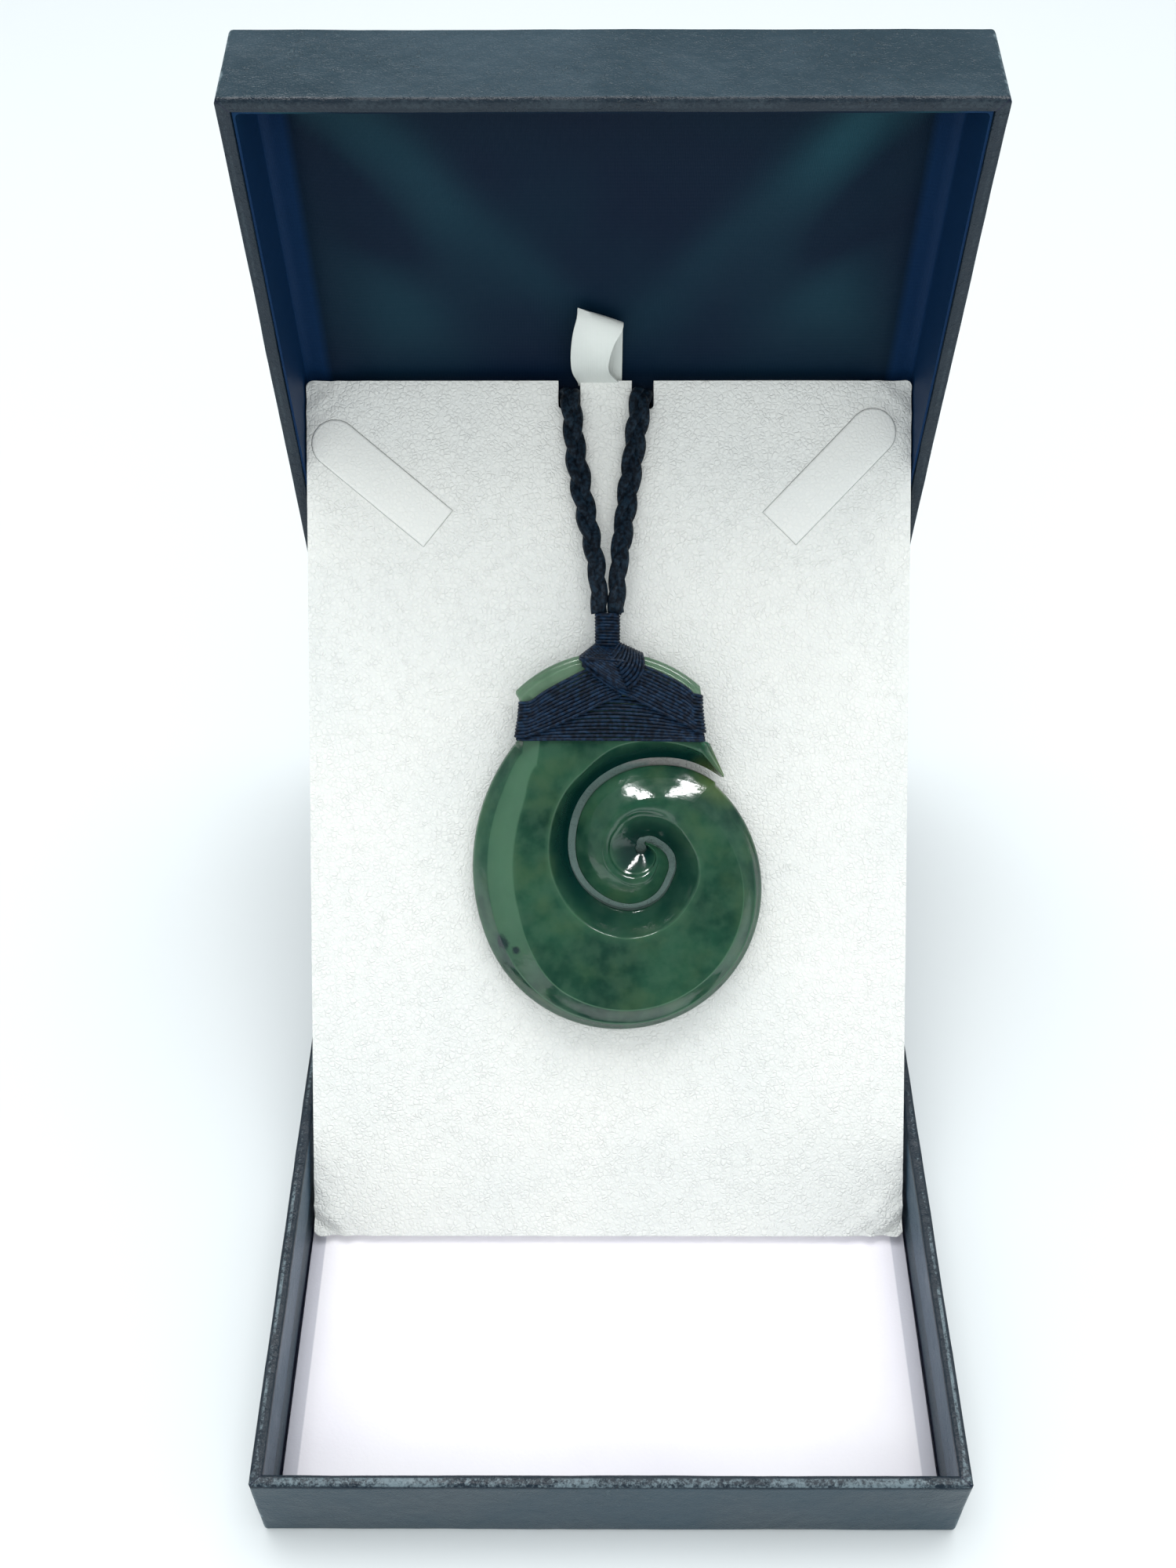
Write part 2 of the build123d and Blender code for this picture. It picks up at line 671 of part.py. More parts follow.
def cord_route():
    """The cord's corner points from the left end in the whipping round to the right end."""
    top = whipping_top_y
    ends = []
    for side in (-1, 1):
        x = whipping_x + side * cord_spacing / 2
        ends.append([on_stone((x, top, whipping_z)), on_stone((x, top + cord_lead, whipping_z))])
    route = list(ends[0])
    route += [on_pad(point) for point in cord_left_front]
    route += [Vector(point) for point in cord_hidden]
    route += [on_pad(point) for point in cord_right_front]
    route += list(reversed(ends[1]))
    return route


def corner_radii(route):
    """Arc radius at each corner: as large as the shorter of its two runs allows."""
    radii = []
    for before, corner, after in zip(route, route[1:], route[2:]):
        arriving, leaving = corner - before, after - corner
        turn = math.radians(arriving.get_angle(leaving))
        radii.append(0.45 * min(arriving.length, leaving.length) / math.tan(turn / 2))
    return radii


def cord():
    route = cord_route()
    radii = corner_radii(route)
    path = FilletPolyline(*route, radius=radii)
    section = Plane(origin=path @ 0, z_dir=path % 0) * Circle(cord_diameter / 2)
    tube = sweep(section, path=path)
    expected = path.length * math.pi * cord_diameter**2 / 4
    print("cord length", round(path.length, 1))
    print("cord volume", round(tube.volume, 1), "expected", round(expected, 1))
    print("cord radii", [round(radius, 1) for radius in radii])
    runs = [(after - before).length for before, after in zip(route, route[1:])]
    print("cord runs", [round(run, 1) for run in runs])
    print("pad lean", round(math.degrees(lean), 2), "stone tilt", round(stone_tilt, 2))
    return tube


def build_nodes():
    """Every piece by its node name."""
    return {
        "base_shell": base_shell(),
        "tray_floor": tray_floor(),
        "hinge_spine": hinge_spine(),
        "lid_shell": lid_shell(),
        "lid_lining": lid_lining(),
        "display_pad": display_pad(),
        "pad_tongue_left": pad_tongue(-1),
        "pad_tongue_right": pad_tongue(1),
        "ribbon_loop": ribbon_loop(),
        "koru_stone": koru_stone(),
        "lashing_turns": lashing_turns(),
        "lashing_wrap_left": diagonal_wrap(-1, 1),
        "lashing_wrap_right": diagonal_wrap(1, 2),
        "head_knot": head_knot(),
        "neck_whipping": neck_whipping(),
        "cord": cord(),
    }


def main():
    os.makedirs("parts", exist_ok=True)
    for name, shape in build_nodes().items():
        solid = shape.solids()[0] if len(shape.solids()) == 1 else shape
        export_step(solid, f"parts/{name}.step")


main()
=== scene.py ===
"""Looks of a carved koru pendant that lies on a leaning pad in an open presentation box.

Sizes are millimetres, in the frame of the solids, until a mesh is finished in metres.
"""

import logging
import math
from collections.abc import Callable, Iterable, Sequence
from dataclasses import dataclass
from enum import Enum

import bmesh
import bpy
from mathutils import Matrix, Vector, noise

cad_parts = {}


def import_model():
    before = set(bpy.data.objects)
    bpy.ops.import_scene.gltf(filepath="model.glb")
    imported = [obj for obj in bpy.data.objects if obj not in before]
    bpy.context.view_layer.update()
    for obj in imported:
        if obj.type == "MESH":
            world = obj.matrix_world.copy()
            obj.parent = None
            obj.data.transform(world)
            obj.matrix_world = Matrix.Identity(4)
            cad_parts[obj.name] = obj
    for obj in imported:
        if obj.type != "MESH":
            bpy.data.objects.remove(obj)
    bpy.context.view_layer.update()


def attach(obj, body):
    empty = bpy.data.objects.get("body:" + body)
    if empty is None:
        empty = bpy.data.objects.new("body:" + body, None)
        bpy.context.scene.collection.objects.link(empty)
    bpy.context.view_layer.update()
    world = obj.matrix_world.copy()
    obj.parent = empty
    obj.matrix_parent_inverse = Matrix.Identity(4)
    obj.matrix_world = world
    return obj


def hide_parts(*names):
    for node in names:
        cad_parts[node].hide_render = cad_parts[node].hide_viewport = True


LOG = logging.getLogger("koru_pendant")
MM = 0.001
FRAME = Matrix.Identity(4)

Mesh = bmesh.types.BMesh
Edge = bmesh.types.BMEdge
Socket = bpy.types.NodeSocket
Pair = tuple[float, float]
Ring = list[Vector]


class Body(Enum):
    """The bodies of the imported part."""

    BOX = "box"
    LID = "lid"


class Slot(Enum):
    """The material slots of the record."""

    BOX_LEATHERETTE = "box_leatherette"
    TRAY_CARD = "tray_card"
    LID_SATIN = "lid_satin"
    PAD_LEATHERETTE = "pad_leatherette"
    RIBBON_SATIN = "ribbon_satin"
    JADE = "jade"
    WAXED_THREAD = "waxed_thread"
    PLAITED_CORD = "plaited_cord"


@dataclass(frozen=True)
class Layout:
    """Sizes of the box and the places of the pad, the stone and the lid."""

    width: float = 116.4
    depth: float = 165.0
    height: float = 18.5
    wall: float = 2.1
    board: float = 1.4
    card: float = 0.8
    card_gap: float = 0.2
    lid_open: float = math.radians(80.5)
    lining_gap: float = 0.1
    lining_wall: float = 0.4
    lining_panel: float = 1.6
    lining_setback: float = 0.5
    pad_side_gap: float = 0.3
    pad_end_gap: float = 1.0
    pad_thickness: float = 3.0
    pad_foot_from_front: float = 52.6
    pad_seat_gap: float = 0.05
    pad_lid_gap: float = 0.3
    stone_x: float = 2.0
    stone_y: float = 65.9
    stone_seat_gap: float = 0.15
    stone_rest_reach: float = 24.8
    knot_foot_y: float = 36.4
    lashing_stack: float = 2.52
    waist_x: float = -1.7
    waist_low: float = 27.3
    waist_high: float = 33.7
    waist_low_half: float = 15.6
    waist_high_half: float = 15.4
    specks: tuple = ((-21.6, -9.2, 5.9, 1.9), (-18.9, -10.4, 6.9, 1.1))

    @property
    def inner_width(self) -> float:
        """Width between the tray's side walls."""
        return self.width - 2 * self.wall

    @property
    def inner_depth(self) -> float:
        """Depth between the tray's front and back walls."""
        return self.depth - 2 * self.wall

    @property
    def pad_width(self) -> float:
        """Width of the leaning pad."""
        return self.inner_width - 2 * (self.lining_gap + self.lining_wall + self.pad_side_gap)

    @property
    def pad_height(self) -> float:
        """Height of the pad along its own face."""
        return self.inner_depth - 2 * self.pad_end_gap

    @property
    def lining_depth(self) -> float:
        """Depth of the lid's satin face under its rim."""
        return self.height - self.board - self.lining_gap - self.lining_panel

    @property
    def pad_place(self) -> Matrix:
        """Place of the pad: x across, y up its face, z out of it."""
        foot_y = self.wall + self.pad_foot_from_front - self.depth / 2
        foot_z = self.board + self.card + self.pad_seat_gap
        reach = self.lining_depth - self.pad_lid_gap
        reach -= (foot_y - self.depth / 2) * math.sin(self.lid_open)
        reach -= (foot_z - self.height) * math.cos(self.lid_open)
        lean = self.lid_open - math.acos(reach / self.pad_height)
        out = Vector((0, -math.cos(lean), math.sin(lean)))
        up = Vector((0, math.sin(lean), math.cos(lean)))
        origin = Vector((0, foot_y, foot_z)) + out * self.pad_thickness
        return place_matrix(origin, Vector((1, 0, 0)), up, out)

    @property
    def stone_place(self) -> Matrix:
        """Place of the stone: x right, y up the pad, z out of its flat back."""
        tilt = math.asin(self.lashing_stack / (self.knot_foot_y + self.stone_rest_reach))
        lift = self.stone_seat_gap + self.stone_rest_reach * math.sin(tilt)
        move = Matrix.Translation((self.stone_x, self.stone_y, lift))
        return self.pad_place @ move @ Matrix.Rotation(tilt, 4, "X")

    @property
    def lid_place(self) -> Matrix:
        """Place of the lid as a tray of its own, mouth towards +z, hinge side at +y."""
        away = Vector((0, -math.cos(self.lid_open), math.sin(self.lid_open)))
        deep = Vector((0, math.sin(self.lid_open), math.cos(self.lid_open)))
        hinge = Vector((0, self.depth / 2, self.height))
        origin = hinge + away * (self.depth / 2) + deep * self.height
        return place_matrix(origin, Vector((-1, 0, 0)), -away, -deep)

    def spots(self) -> list[tuple[Vector, float]]:
        """Places, in the frame, and sizes of the stone's dark inclusions."""
        return [(self.stone_place @ Vector((x, y, z)), size) for x, y, z, size in self.specks]

    def waist_half(self, y: float) -> float:
        """Half width of the stone's waist at a height."""
        share = min((y - self.waist_low) / (self.waist_high - self.waist_low), 1.0)
        return self.waist_low_half + (self.waist_high_half - self.waist_low_half) * share


def place_matrix(origin: Vector, x: Vector, y: Vector, z: Vector) -> Matrix:
    """Builds the matrix from a place, given by its origin and axes, to the frame."""
    return Matrix.Translation(origin) @ Matrix((x, y, z)).transposed().to_4x4()


def bell(distance: float, width: float) -> float:
    """A soft hump, 1 at no distance and near 0 past twice the width."""
    return math.exp(-((distance / width) ** 2))


def clamp(value: float) -> float:
    """Keeps a share between 0 and 1."""
    return max(0.0, min(1.0, value))


def ease(share: float) -> float:
    """Starts and ends a share from 0 to 1 gently."""
    return share * share * (3 - 2 * share)


def side_name(side: int) -> str:
    """Names a side, -1 left and 1 right."""
    return "left" if side < 0 else "right"


def add_object(name: str, data: bpy.types.ID) -> bpy.types.Object:
    """Puts a mesh, curve, light or camera into the scene."""
    made = bpy.data.objects.new(name, data)
    bpy.context.scene.collection.objects.link(made)
    return made


def to_mesh(bm: Mesh, name: str) -> bpy.types.Mesh:
    """Turns a bmesh into a mesh and frees it.

    Args:
        bm: The bmesh.
        name: The mesh's name.

    Returns:
        The mesh.
    """
    mesh = bpy.data.meshes.new(name)
    bm.to_mesh(mesh)
    bm.free()
    return mesh


class Graph:
    """Adds and joins the nodes of one shader tree."""

    def __init__(self, tree: bpy.types.NodeTree) -> None:
        """Keeps the tree that the nodes go into."""
        self.tree = tree

    def node(self, kind: str, inputs: dict | None = None, **settings: object) -> bpy.types.Node:
        """Adds a node.

        Args:
            kind: The node's type name.
            inputs: Values or sockets by input name or number.
            settings: Properties of the node.

        Returns:
            The new node.
        """
        made = self.tree.nodes.new(kind)
        for key, value in settings.items():
            setattr(made, key, value)
        self.put(made, inputs or {})
        return made

    def put(self, node: bpy.types.Node, inputs: dict) -> None:
        """Sets or joins a node's inputs, given by name or number.

        Args:
            node: The node.
            inputs: Values or sockets.
        """
        for key, value in inputs.items():
            if isinstance(value, Socket):
                self.join(value, node.inputs[key])
            else:
                node.inputs[key].default_value = value

    def join(self, value: Socket, goal: Socket) -> None:
        """Links an output to an input."""
        self.tree.links.new(value, goal)

    def math(self, operation: str, *values: object) -> Socket:
        """Adds a Math node and gives its output."""
        return self.node("ShaderNodeMath", dict(enumerate(values)), operation=operation).outputs[0]

    def times(self, first: object, second: object) -> Socket:
        """Multiplies two numbers."""
        return self.math("MULTIPLY", first, second)

    def vector(self, operation: str, inputs: dict) -> bpy.types.NodeOutputs:
        """Adds a Vector Math node and gives its outputs."""
        return self.node("ShaderNodeVectorMath", inputs, operation=operation).outputs

    def noise(self, where: object, scale: float, detail: object, roughness: float = 0.5) -> bpy.types.NodeOutputs:
        """Adds a noise texture and gives its outputs."""
        inputs = {"Vector": where, "Scale": scale, "Detail": detail, "Roughness": roughness}
        return self.node("ShaderNodeTexNoise", inputs).outputs

    def spread(
        self, value: object, low: float, high: float, to_low: float = 0.0, to_high: float = 1.0
    ) -> Socket:
        """Maps a value from one range to another, smoothly and within its ends."""
        limits = {0: value, 1: low, 2: high, 3: to_low, 4: to_high}
        return self.node("ShaderNodeMapRange", limits, interpolation_type="SMOOTHSTEP").outputs[0]

    def blend(self, share: object, first: object, second: object) -> Socket:
        """Mixes two colours by a share and gives the result."""
        return self.node("ShaderNodeMix", {0: share, 6: first, 7: second}, data_type="RGBA").outputs[2]

    def effect(self, group: bpy.types.NodeTree, **values: object) -> bpy.types.Node:
        """Places a node group with its own values."""
        return self.node("ShaderNodeGroup", values, node_tree=group)


def rgb(red: int, green: int, blue: int) -> tuple[float, float, float, float]:
    """Turns a screen colour of 0 to 255 into the renderer's linear one.

    Args:
        red: Red part.
        green: Green part.
        blue: Blue part.

    Returns:
        Linear red, green and blue, and full alpha.
    """
    parts = []
    for part in (red, green, blue):
        share = part / 255
        parts.append(share / 12.92 if share <= 0.04045 else ((share + 0.055) / 1.055) ** 2.4)
    return (*parts, 1.0)


class Effects:
    """Shader node groups that more than one finish uses, each built once."""

    built: dict[str, bpy.types.NodeTree] = {}

    @classmethod
    def start(cls, name: str, inputs: dict[str, float], outputs: Sequence[str]) -> tuple[Graph, dict, object]:
        """Opens a new group.

        Args:
            name: The group's name.
            inputs: Names and values of its float inputs.
            outputs: Names of its float outputs.

        Returns:
            The graph, the input sockets by name, and the output node.
        """
        tree = bpy.data.node_groups.new(name, "ShaderNodeTree")
        for key, value in inputs.items():
            made = tree.interface.new_socket(key, in_out="INPUT", socket_type="NodeSocketFloat")
            made.default_value = value
        for key in outputs:
            tree.interface.new_socket(key, in_out="OUTPUT", socket_type="NodeSocketFloat")
        graph = Graph(tree)
        entry = graph.node("NodeGroupInput")
        leave = graph.node("NodeGroupOutput")
        cls.built[name] = tree
        return graph, {key: entry.outputs[key] for key in inputs}, leave

    @classmethod
    def place_in_mm(cls, graph: Graph, size: object) -> Socket:
        """Object coordinates in millimetres over a size."""
        where = graph.node("ShaderNodeTexCoord").outputs["Object"]
        scale = graph.math("DIVIDE", 1 / MM, size)
        return graph.vector("SCALE", {0: where, "Scale": scale})[0]

    @classmethod
    def mottle(cls) -> bpy.types.NodeTree:
        """Soft patches, 0 to 1, of a size in millimetres.

        Returns:
            The group.
        """
        if "mottle" not in cls.built:
            graph, given, leave = cls.start("mottle", {"Size": 10.0, "Detail": 3.0, "Shift": 0.0}, ["Patch"])
            where = cls.place_in_mm(graph, given["Size"])
            moved = graph.vector("ADD", {0: where, 1: given["Shift"]})[0]
            cloud = graph.noise(moved, 1.0, given["Detail"])[0]
            graph.join(graph.spread(cloud, 0.3, 0.7), leave.inputs["Patch"])
        return cls.built["mottle"]

    @classmethod
    def grain(cls) -> bpy.types.NodeTree:
        """Pebbles of leather: height, and the creases between pebbles.

        Returns:
            The group.
        """
        if "grain" not in cls.built:
            graph, given, leave = cls.start("grain", {"Size": 1.0, "Unevenness": 0.5}, ["Height", "Crease"])
            where = cls.place_in_mm(graph, given["Size"])
            drift = graph.noise(where, 0.8, 2.0)[1]
            push = graph.vector("SCALE", {0: drift, "Scale": given["Unevenness"]})[0]
            bent = graph.vector("ADD", {0: where, 1: push})[0]
            cells = graph.node("ShaderNodeTexVoronoi", {"Vector": bent, "Scale": 1.0}, feature="DISTANCE_TO_EDGE")
            crease = graph.spread(cells.outputs["Distance"], 0.0, 0.24)
            fine, broad = graph.noise(where, 2.6, 3.0)[0], graph.noise(where, 0.45, 1.0)[0]
            height = graph.times(crease, graph.spread(broad, 0.25, 0.75, 0.45, 1.0))
            graph.join(graph.math("ADD", height, graph.times(fine, 0.55)), leave.inputs["Height"])
            graph.join(graph.math("SUBTRACT", 1.0, crease), leave.inputs["Crease"])
        return cls.built["grain"]

    @classmethod
    def scuff(cls) -> bpy.types.NodeTree:
        """Rubbed places along the edges that the piece's wear attribute marks.

        Returns:
            The group.
        """
        if "scuff" not in cls.built:
            graph, given, leave = cls.start("scuff", {"Size": 2.0, "Amount": 0.5}, ["Rub"])
            where = cls.place_in_mm(graph, given["Size"])
            marked = graph.times(attribute(graph, "wear"), graph.noise(where, 1.0, 6.0, 0.7)[0])
            spared = graph.times(graph.math("SUBTRACT", 1.0, given["Amount"]), 0.5)
            graph.join(graph.spread(graph.math("SUBTRACT", marked, spared), 0.0, 0.16), leave.inputs["Rub"])
        return cls.built["scuff"]

    @classmethod
    def weave(cls) -> bpy.types.NodeTree:
        """Fine crossing threads of satin, as a height.

        Returns:
            The group.
        """
        if "weave" not in cls.built:
            graph, given, leave = cls.start("weave", {"Pitch": 0.3, "Cross": 0.4}, ["Height"])
            where = cls.place_in_mm(graph, given["Pitch"])
            parts = graph.node("ShaderNodeSeparateXYZ", {0: where}).outputs
            warp = graph.math("SINE", graph.times(parts[0], math.tau))
            weft = graph.math("SINE", graph.times(graph.math("ADD", parts[1], parts[2]), math.pi))
            graph.join(graph.math("ADD", warp, graph.times(weft, given["Cross"])), leave.inputs["Height"])
        return cls.built["weave"]

    @classmethod
    def fibres(cls) -> bpy.types.NodeTree:
        """Fibres of thread: fine fuzz as a height, and slow patches of wax.

        Returns:
            The group.
        """
        if "fibres" not in cls.built:
            graph, given, leave = cls.start("fibres", {"Size": 0.25}, ["Height", "Wax"])
            where = cls.place_in_mm(graph, given["Size"])
            graph.join(graph.noise(where, 1.0, 4.0)[0], leave.inputs["Height"])
            graph.join(graph.spread(graph.noise(where, 0.3, 3.0)[0], 0.35, 0.7), leave.inputs["Wax"])
        return cls.built["fibres"]


def new_material(name: str) -> tuple[bpy.types.Material, Graph, bpy.types.Node]:
    """Opens a material.

    Args:
        name: The material's name.

    Returns:
        The material, its graph and its Principled node.
    """
    material = bpy.data.materials.new(name)
    material.use_nodes = True
    graph = Graph(material.node_tree)
    return material, graph, material.node_tree.nodes["Principled BSDF"]


def attribute(graph: Graph, name: str) -> Socket:
    """Reads a number that the piece's mesh carries."""
    return graph.node("ShaderNodeAttribute", attribute_name=name).outputs["Fac"]


def patches(graph: Graph, size: float, detail: float, shift: float = 0.0) -> Socket:
    """Soft patches, 0 to 1, of a size in millimetres; the shift tells one set of patches from another."""
    return graph.effect(Effects.mottle(), Size=size, Detail=detail, Shift=shift).outputs["Patch"]


def bump(graph: Graph, shader: bpy.types.Node, height: object, depth_mm: float, under: object = None) -> object:
    """Adds a bump under the shader's normal.

    Args:
        graph: The material's graph.
        shader: The Principled node.
        height: The height socket.
        depth_mm: How deep a height of one is, in millimetres.
        under: A normal that this bump adds to.

    Returns:
        The bump's normal output.
    """
    inputs = {"Height": height, "Distance": depth_mm * MM, "Strength": 1.0}
    if under is not None:
        inputs["Normal"] = under
    made = graph.node("ShaderNodeBump", inputs)
    graph.join(made.outputs[0], shader.inputs["Normal"])
    return made.outputs[0]


@dataclass(frozen=True)
class Leatherette:
    """Teal-black paper leatherette, finely wrinkled, rubbed pale along its edges."""

    name: str = "box_leatherette"
    dark: tuple = rgb(28, 51, 63)
    light: tuple = rgb(41, 65, 78)
    # turned: painted light on the real turned-in band of the upper inner walls.
    turned: tuple = rgb(58, 84, 104)
    # rim_shade: painted shade laid over the whole rim.
    rim_shade: tuple = rgb(10, 26, 40)
    rubbed: tuple = rgb(128, 148, 156)
    # deep: painted shade at the foot of the inner walls, and also the colour of the real dark mitre joints.
    deep: tuple = rgb(8, 20, 46)
    roughness: float = 0.44
    gloss: float = 0.42
    grain_size: float = 0.55
    grain_depth: float = 0.035
    scuff_line: float = 0.85
    scuff_half: float = 0.16
    front_scuff: float = 0.4

    def rim(self, graph: Graph, colour: object) -> object:
        """Draws the rim's painted shade, its broken scuffed line and its mitred corners.

        Args:
            graph: The material's graph.
            colour: The colour under them.

        Returns:
            The colour with them.
        """
        rim, inward = attribute(graph, "rim"), attribute(graph, "inward")
        front = attribute(graph, "front")
        where = Effects.place_in_mm(graph, 1.0)
        streaks, stretches = graph.noise(where, 1.6, 7.0, 0.75)[0], graph.noise(where, 0.09, 2.0)[0]
        broken = graph.spread(graph.math("ADD", streaks, graph.times(stretches, 0.6)), 0.72, 0.95)
        away = graph.math("ABSOLUTE", graph.math("SUBTRACT", inward, self.scuff_line))
        width = graph.math("ADD", self.scuff_half, graph.times(front, self.front_scuff))
        line = graph.spread(graph.math("SUBTRACT", away, width), 0.0, 0.2, 1.0, 0.0)
        scuffed = graph.times(graph.times(line, broken), attribute(graph, "scuffed"))
        # Painted shade: the rim is darkened as if less light reached it.
        colour = graph.blend(graph.times(rim, 0.82), colour, self.rim_shade)
        colour = graph.blend(graph.times(scuffed, 0.6), colour, self.rubbed)
        mitre = graph.spread(graph.math("ABSOLUTE", attribute(graph, "mitre")), 0.05, 0.22, 0.9, 0.0)
        return graph.blend(graph.times(mitre, rim), colour, self.deep)

    def build(self) -> bpy.types.Material:
        """Makes the material.

        Returns:
            The material.
        """
        material, graph, shader = new_material(self.name)
        patch = patches(graph, 22.0, 5.0)
        grain = graph.effect(Effects.grain(), Size=self.grain_size, Unevenness=0.9).outputs
        rub = graph.effect(Effects.scuff(), Size=1.6, Amount=0.42).outputs["Rub"]
        colour = graph.blend(patch, self.dark, self.light)
        # Painted shade in the grain's creases.
        colour = graph.blend(graph.times(grain["Crease"], 0.35), colour, self.dark)
        # The real turned-in band is painted lighter, as light that falls on the upper inner wall.
        colour = graph.blend(graph.times(attribute(graph, "turned"), 0.7), colour, self.turned)
        # Painted shade at the foot of the inner walls, where they meet the floor.
        colour = graph.blend(attribute(graph, "deep"), colour, self.deep)
        nicks = graph.spread(patches(graph, 0.9, 3.0, 11.0), 0.86, 1.0)
        nicks = graph.times(nicks, patches(graph, 15.0, 2.0, 6.0))
        colour = graph.blend(graph.times(nicks, 0.08), colour, self.rubbed)
        colour = graph.blend(graph.times(rub, 0.6), colour, self.rubbed)
        rough = graph.spread(patch, 0.0, 1.0, self.roughness - 0.05, self.roughness + 0.08)
        inputs = {"Base Color": self.rim(graph, colour), "Roughness": rough, "Specular IOR Level": self.gloss}
        graph.put(shader, inputs)
        wrinkle = patches(graph, 3.2, 6.0, 4.0)
        first = bump(graph, shader, graph.math("ADD", wrinkle, nicks), 0.12)
        bump(graph, shader, grain["Height"], self.grain_depth, first)
        return material


@dataclass(frozen=True)
class PebbledLeather:
    """White pebbled leatherette of the pad."""

    name: str = "pad_leatherette"
    white: tuple = rgb(234, 235, 231)
    shade: tuple = rgb(219, 223, 222)
    roughness: float = 0.5
    gloss: float = 0.45
    grain_size: float = 0.85
    grain_depth: float = 0.115
    # crease: painted shade for the grain's creases.
    crease: tuple = rgb(206, 211, 213)
    # under: painted shade, tinted green, for the pad under the stone and in the tongue pockets.
    under: tuple = rgb(158, 208, 200)

    def build(self) -> bpy.types.Material:
        """Makes the material.

        Returns:
            The material.
        """
        material, graph, shader = new_material(self.name)
        patch = patches(graph, 30.0, 2.0)
        grain = graph.effect(Effects.grain(), Size=self.grain_size, Unevenness=0.8).outputs
        colour = graph.blend(graph.times(patch, 0.4), self.white, self.shade)
        # Painted shade in the grain's creases.
        colour = graph.blend(graph.times(grain["Crease"], 0.14), colour, self.crease)
        # Painted shade on the pad under the stone, seen through the slot, and in the tongue pockets.
        colour = graph.blend(attribute(graph, "deep"), colour, self.under)
        rough = graph.spread(grain["Crease"], 0.0, 1.0, self.roughness, self.roughness + 0.15)
        graph.put(shader, {"Base Color": colour, "Roughness": rough, "Specular IOR Level": self.gloss})
        pebbled = graph.math("SUBTRACT", 1.0, attribute(graph, "smooth"))
        bump(graph, shader, graph.times(grain["Height"], pebbled), self.grain_depth)
        return material


@dataclass(frozen=True)
class Satin:
    """Satin cloth with its fine threads and a sheen, and painted sheen where the piece's fold attribute marks it."""

    name: str
    dark: tuple
    light: tuple
    # shine: the colour of the painted sheen.
    shine: tuple
    sheen_tint: tuple
    roughness: float
    gloss: float
    sheen: float
    pitch: float = 0.28
    depth: float = 0.012
    wall: tuple = rgb(18, 52, 92)

    def build(self) -> bpy.types.Material:
        """Makes the material.

        Returns:
            The material.
        """
        material, graph, shader = new_material(self.name)
        patch = patches(graph, 26.0, 2.0)
        threads = graph.effect(Effects.weave(), Pitch=self.pitch, Cross=0.5).outputs["Height"]
        colour = graph.blend(patch, self.dark, self.light)
        # Painted sheen: lighter streaks where the folds catch the light.
        colour = graph.blend(attribute(graph, "fold"), colour, self.shine)
        colour = graph.blend(attribute(graph, "deep"), colour, self.wall)
        rough = graph.spread(patch, 0.0, 1.0, self.roughness, self.roughness + 0.07)
        graph.put(shader, {"Base Color": colour, "Roughness": rough, "Specular IOR Level": self.gloss})
        graph.put(shader, {"Sheen Weight": self.sheen, "Sheen Roughness": 0.35, "Sheen Tint": self.sheen_tint})
        bump(graph, shader, threads, self.depth)
        return material


@dataclass(frozen=True)
class Card:
    """Lilac-white card of the tray floor."""

    name: str = "tray_card"
    white: tuple = rgb(250, 247, 252)
    tint: tuple = rgb(240, 236, 246)
    strip: tuple = rgb(208, 207, 217)

    def build(self) -> bpy.types.Material:
        """Makes the material.

        Returns:
            The material.
        """
        material, graph, shader = new_material(self.name)
        speck = patches(graph, 0.5, 4.0, 7.0)
        colour = graph.blend(graph.times(patches(graph, 40.0, 3.0), 0.6), self.white, self.tint)
        colour = graph.blend(attribute(graph, "strip"), colour, self.strip)
        graph.put(shader, {"Base Color": colour, "Roughness": graph.spread(speck, 0.0, 1.0, 0.6, 0.72)})
        bump(graph, shader, speck, 0.012)
        return material


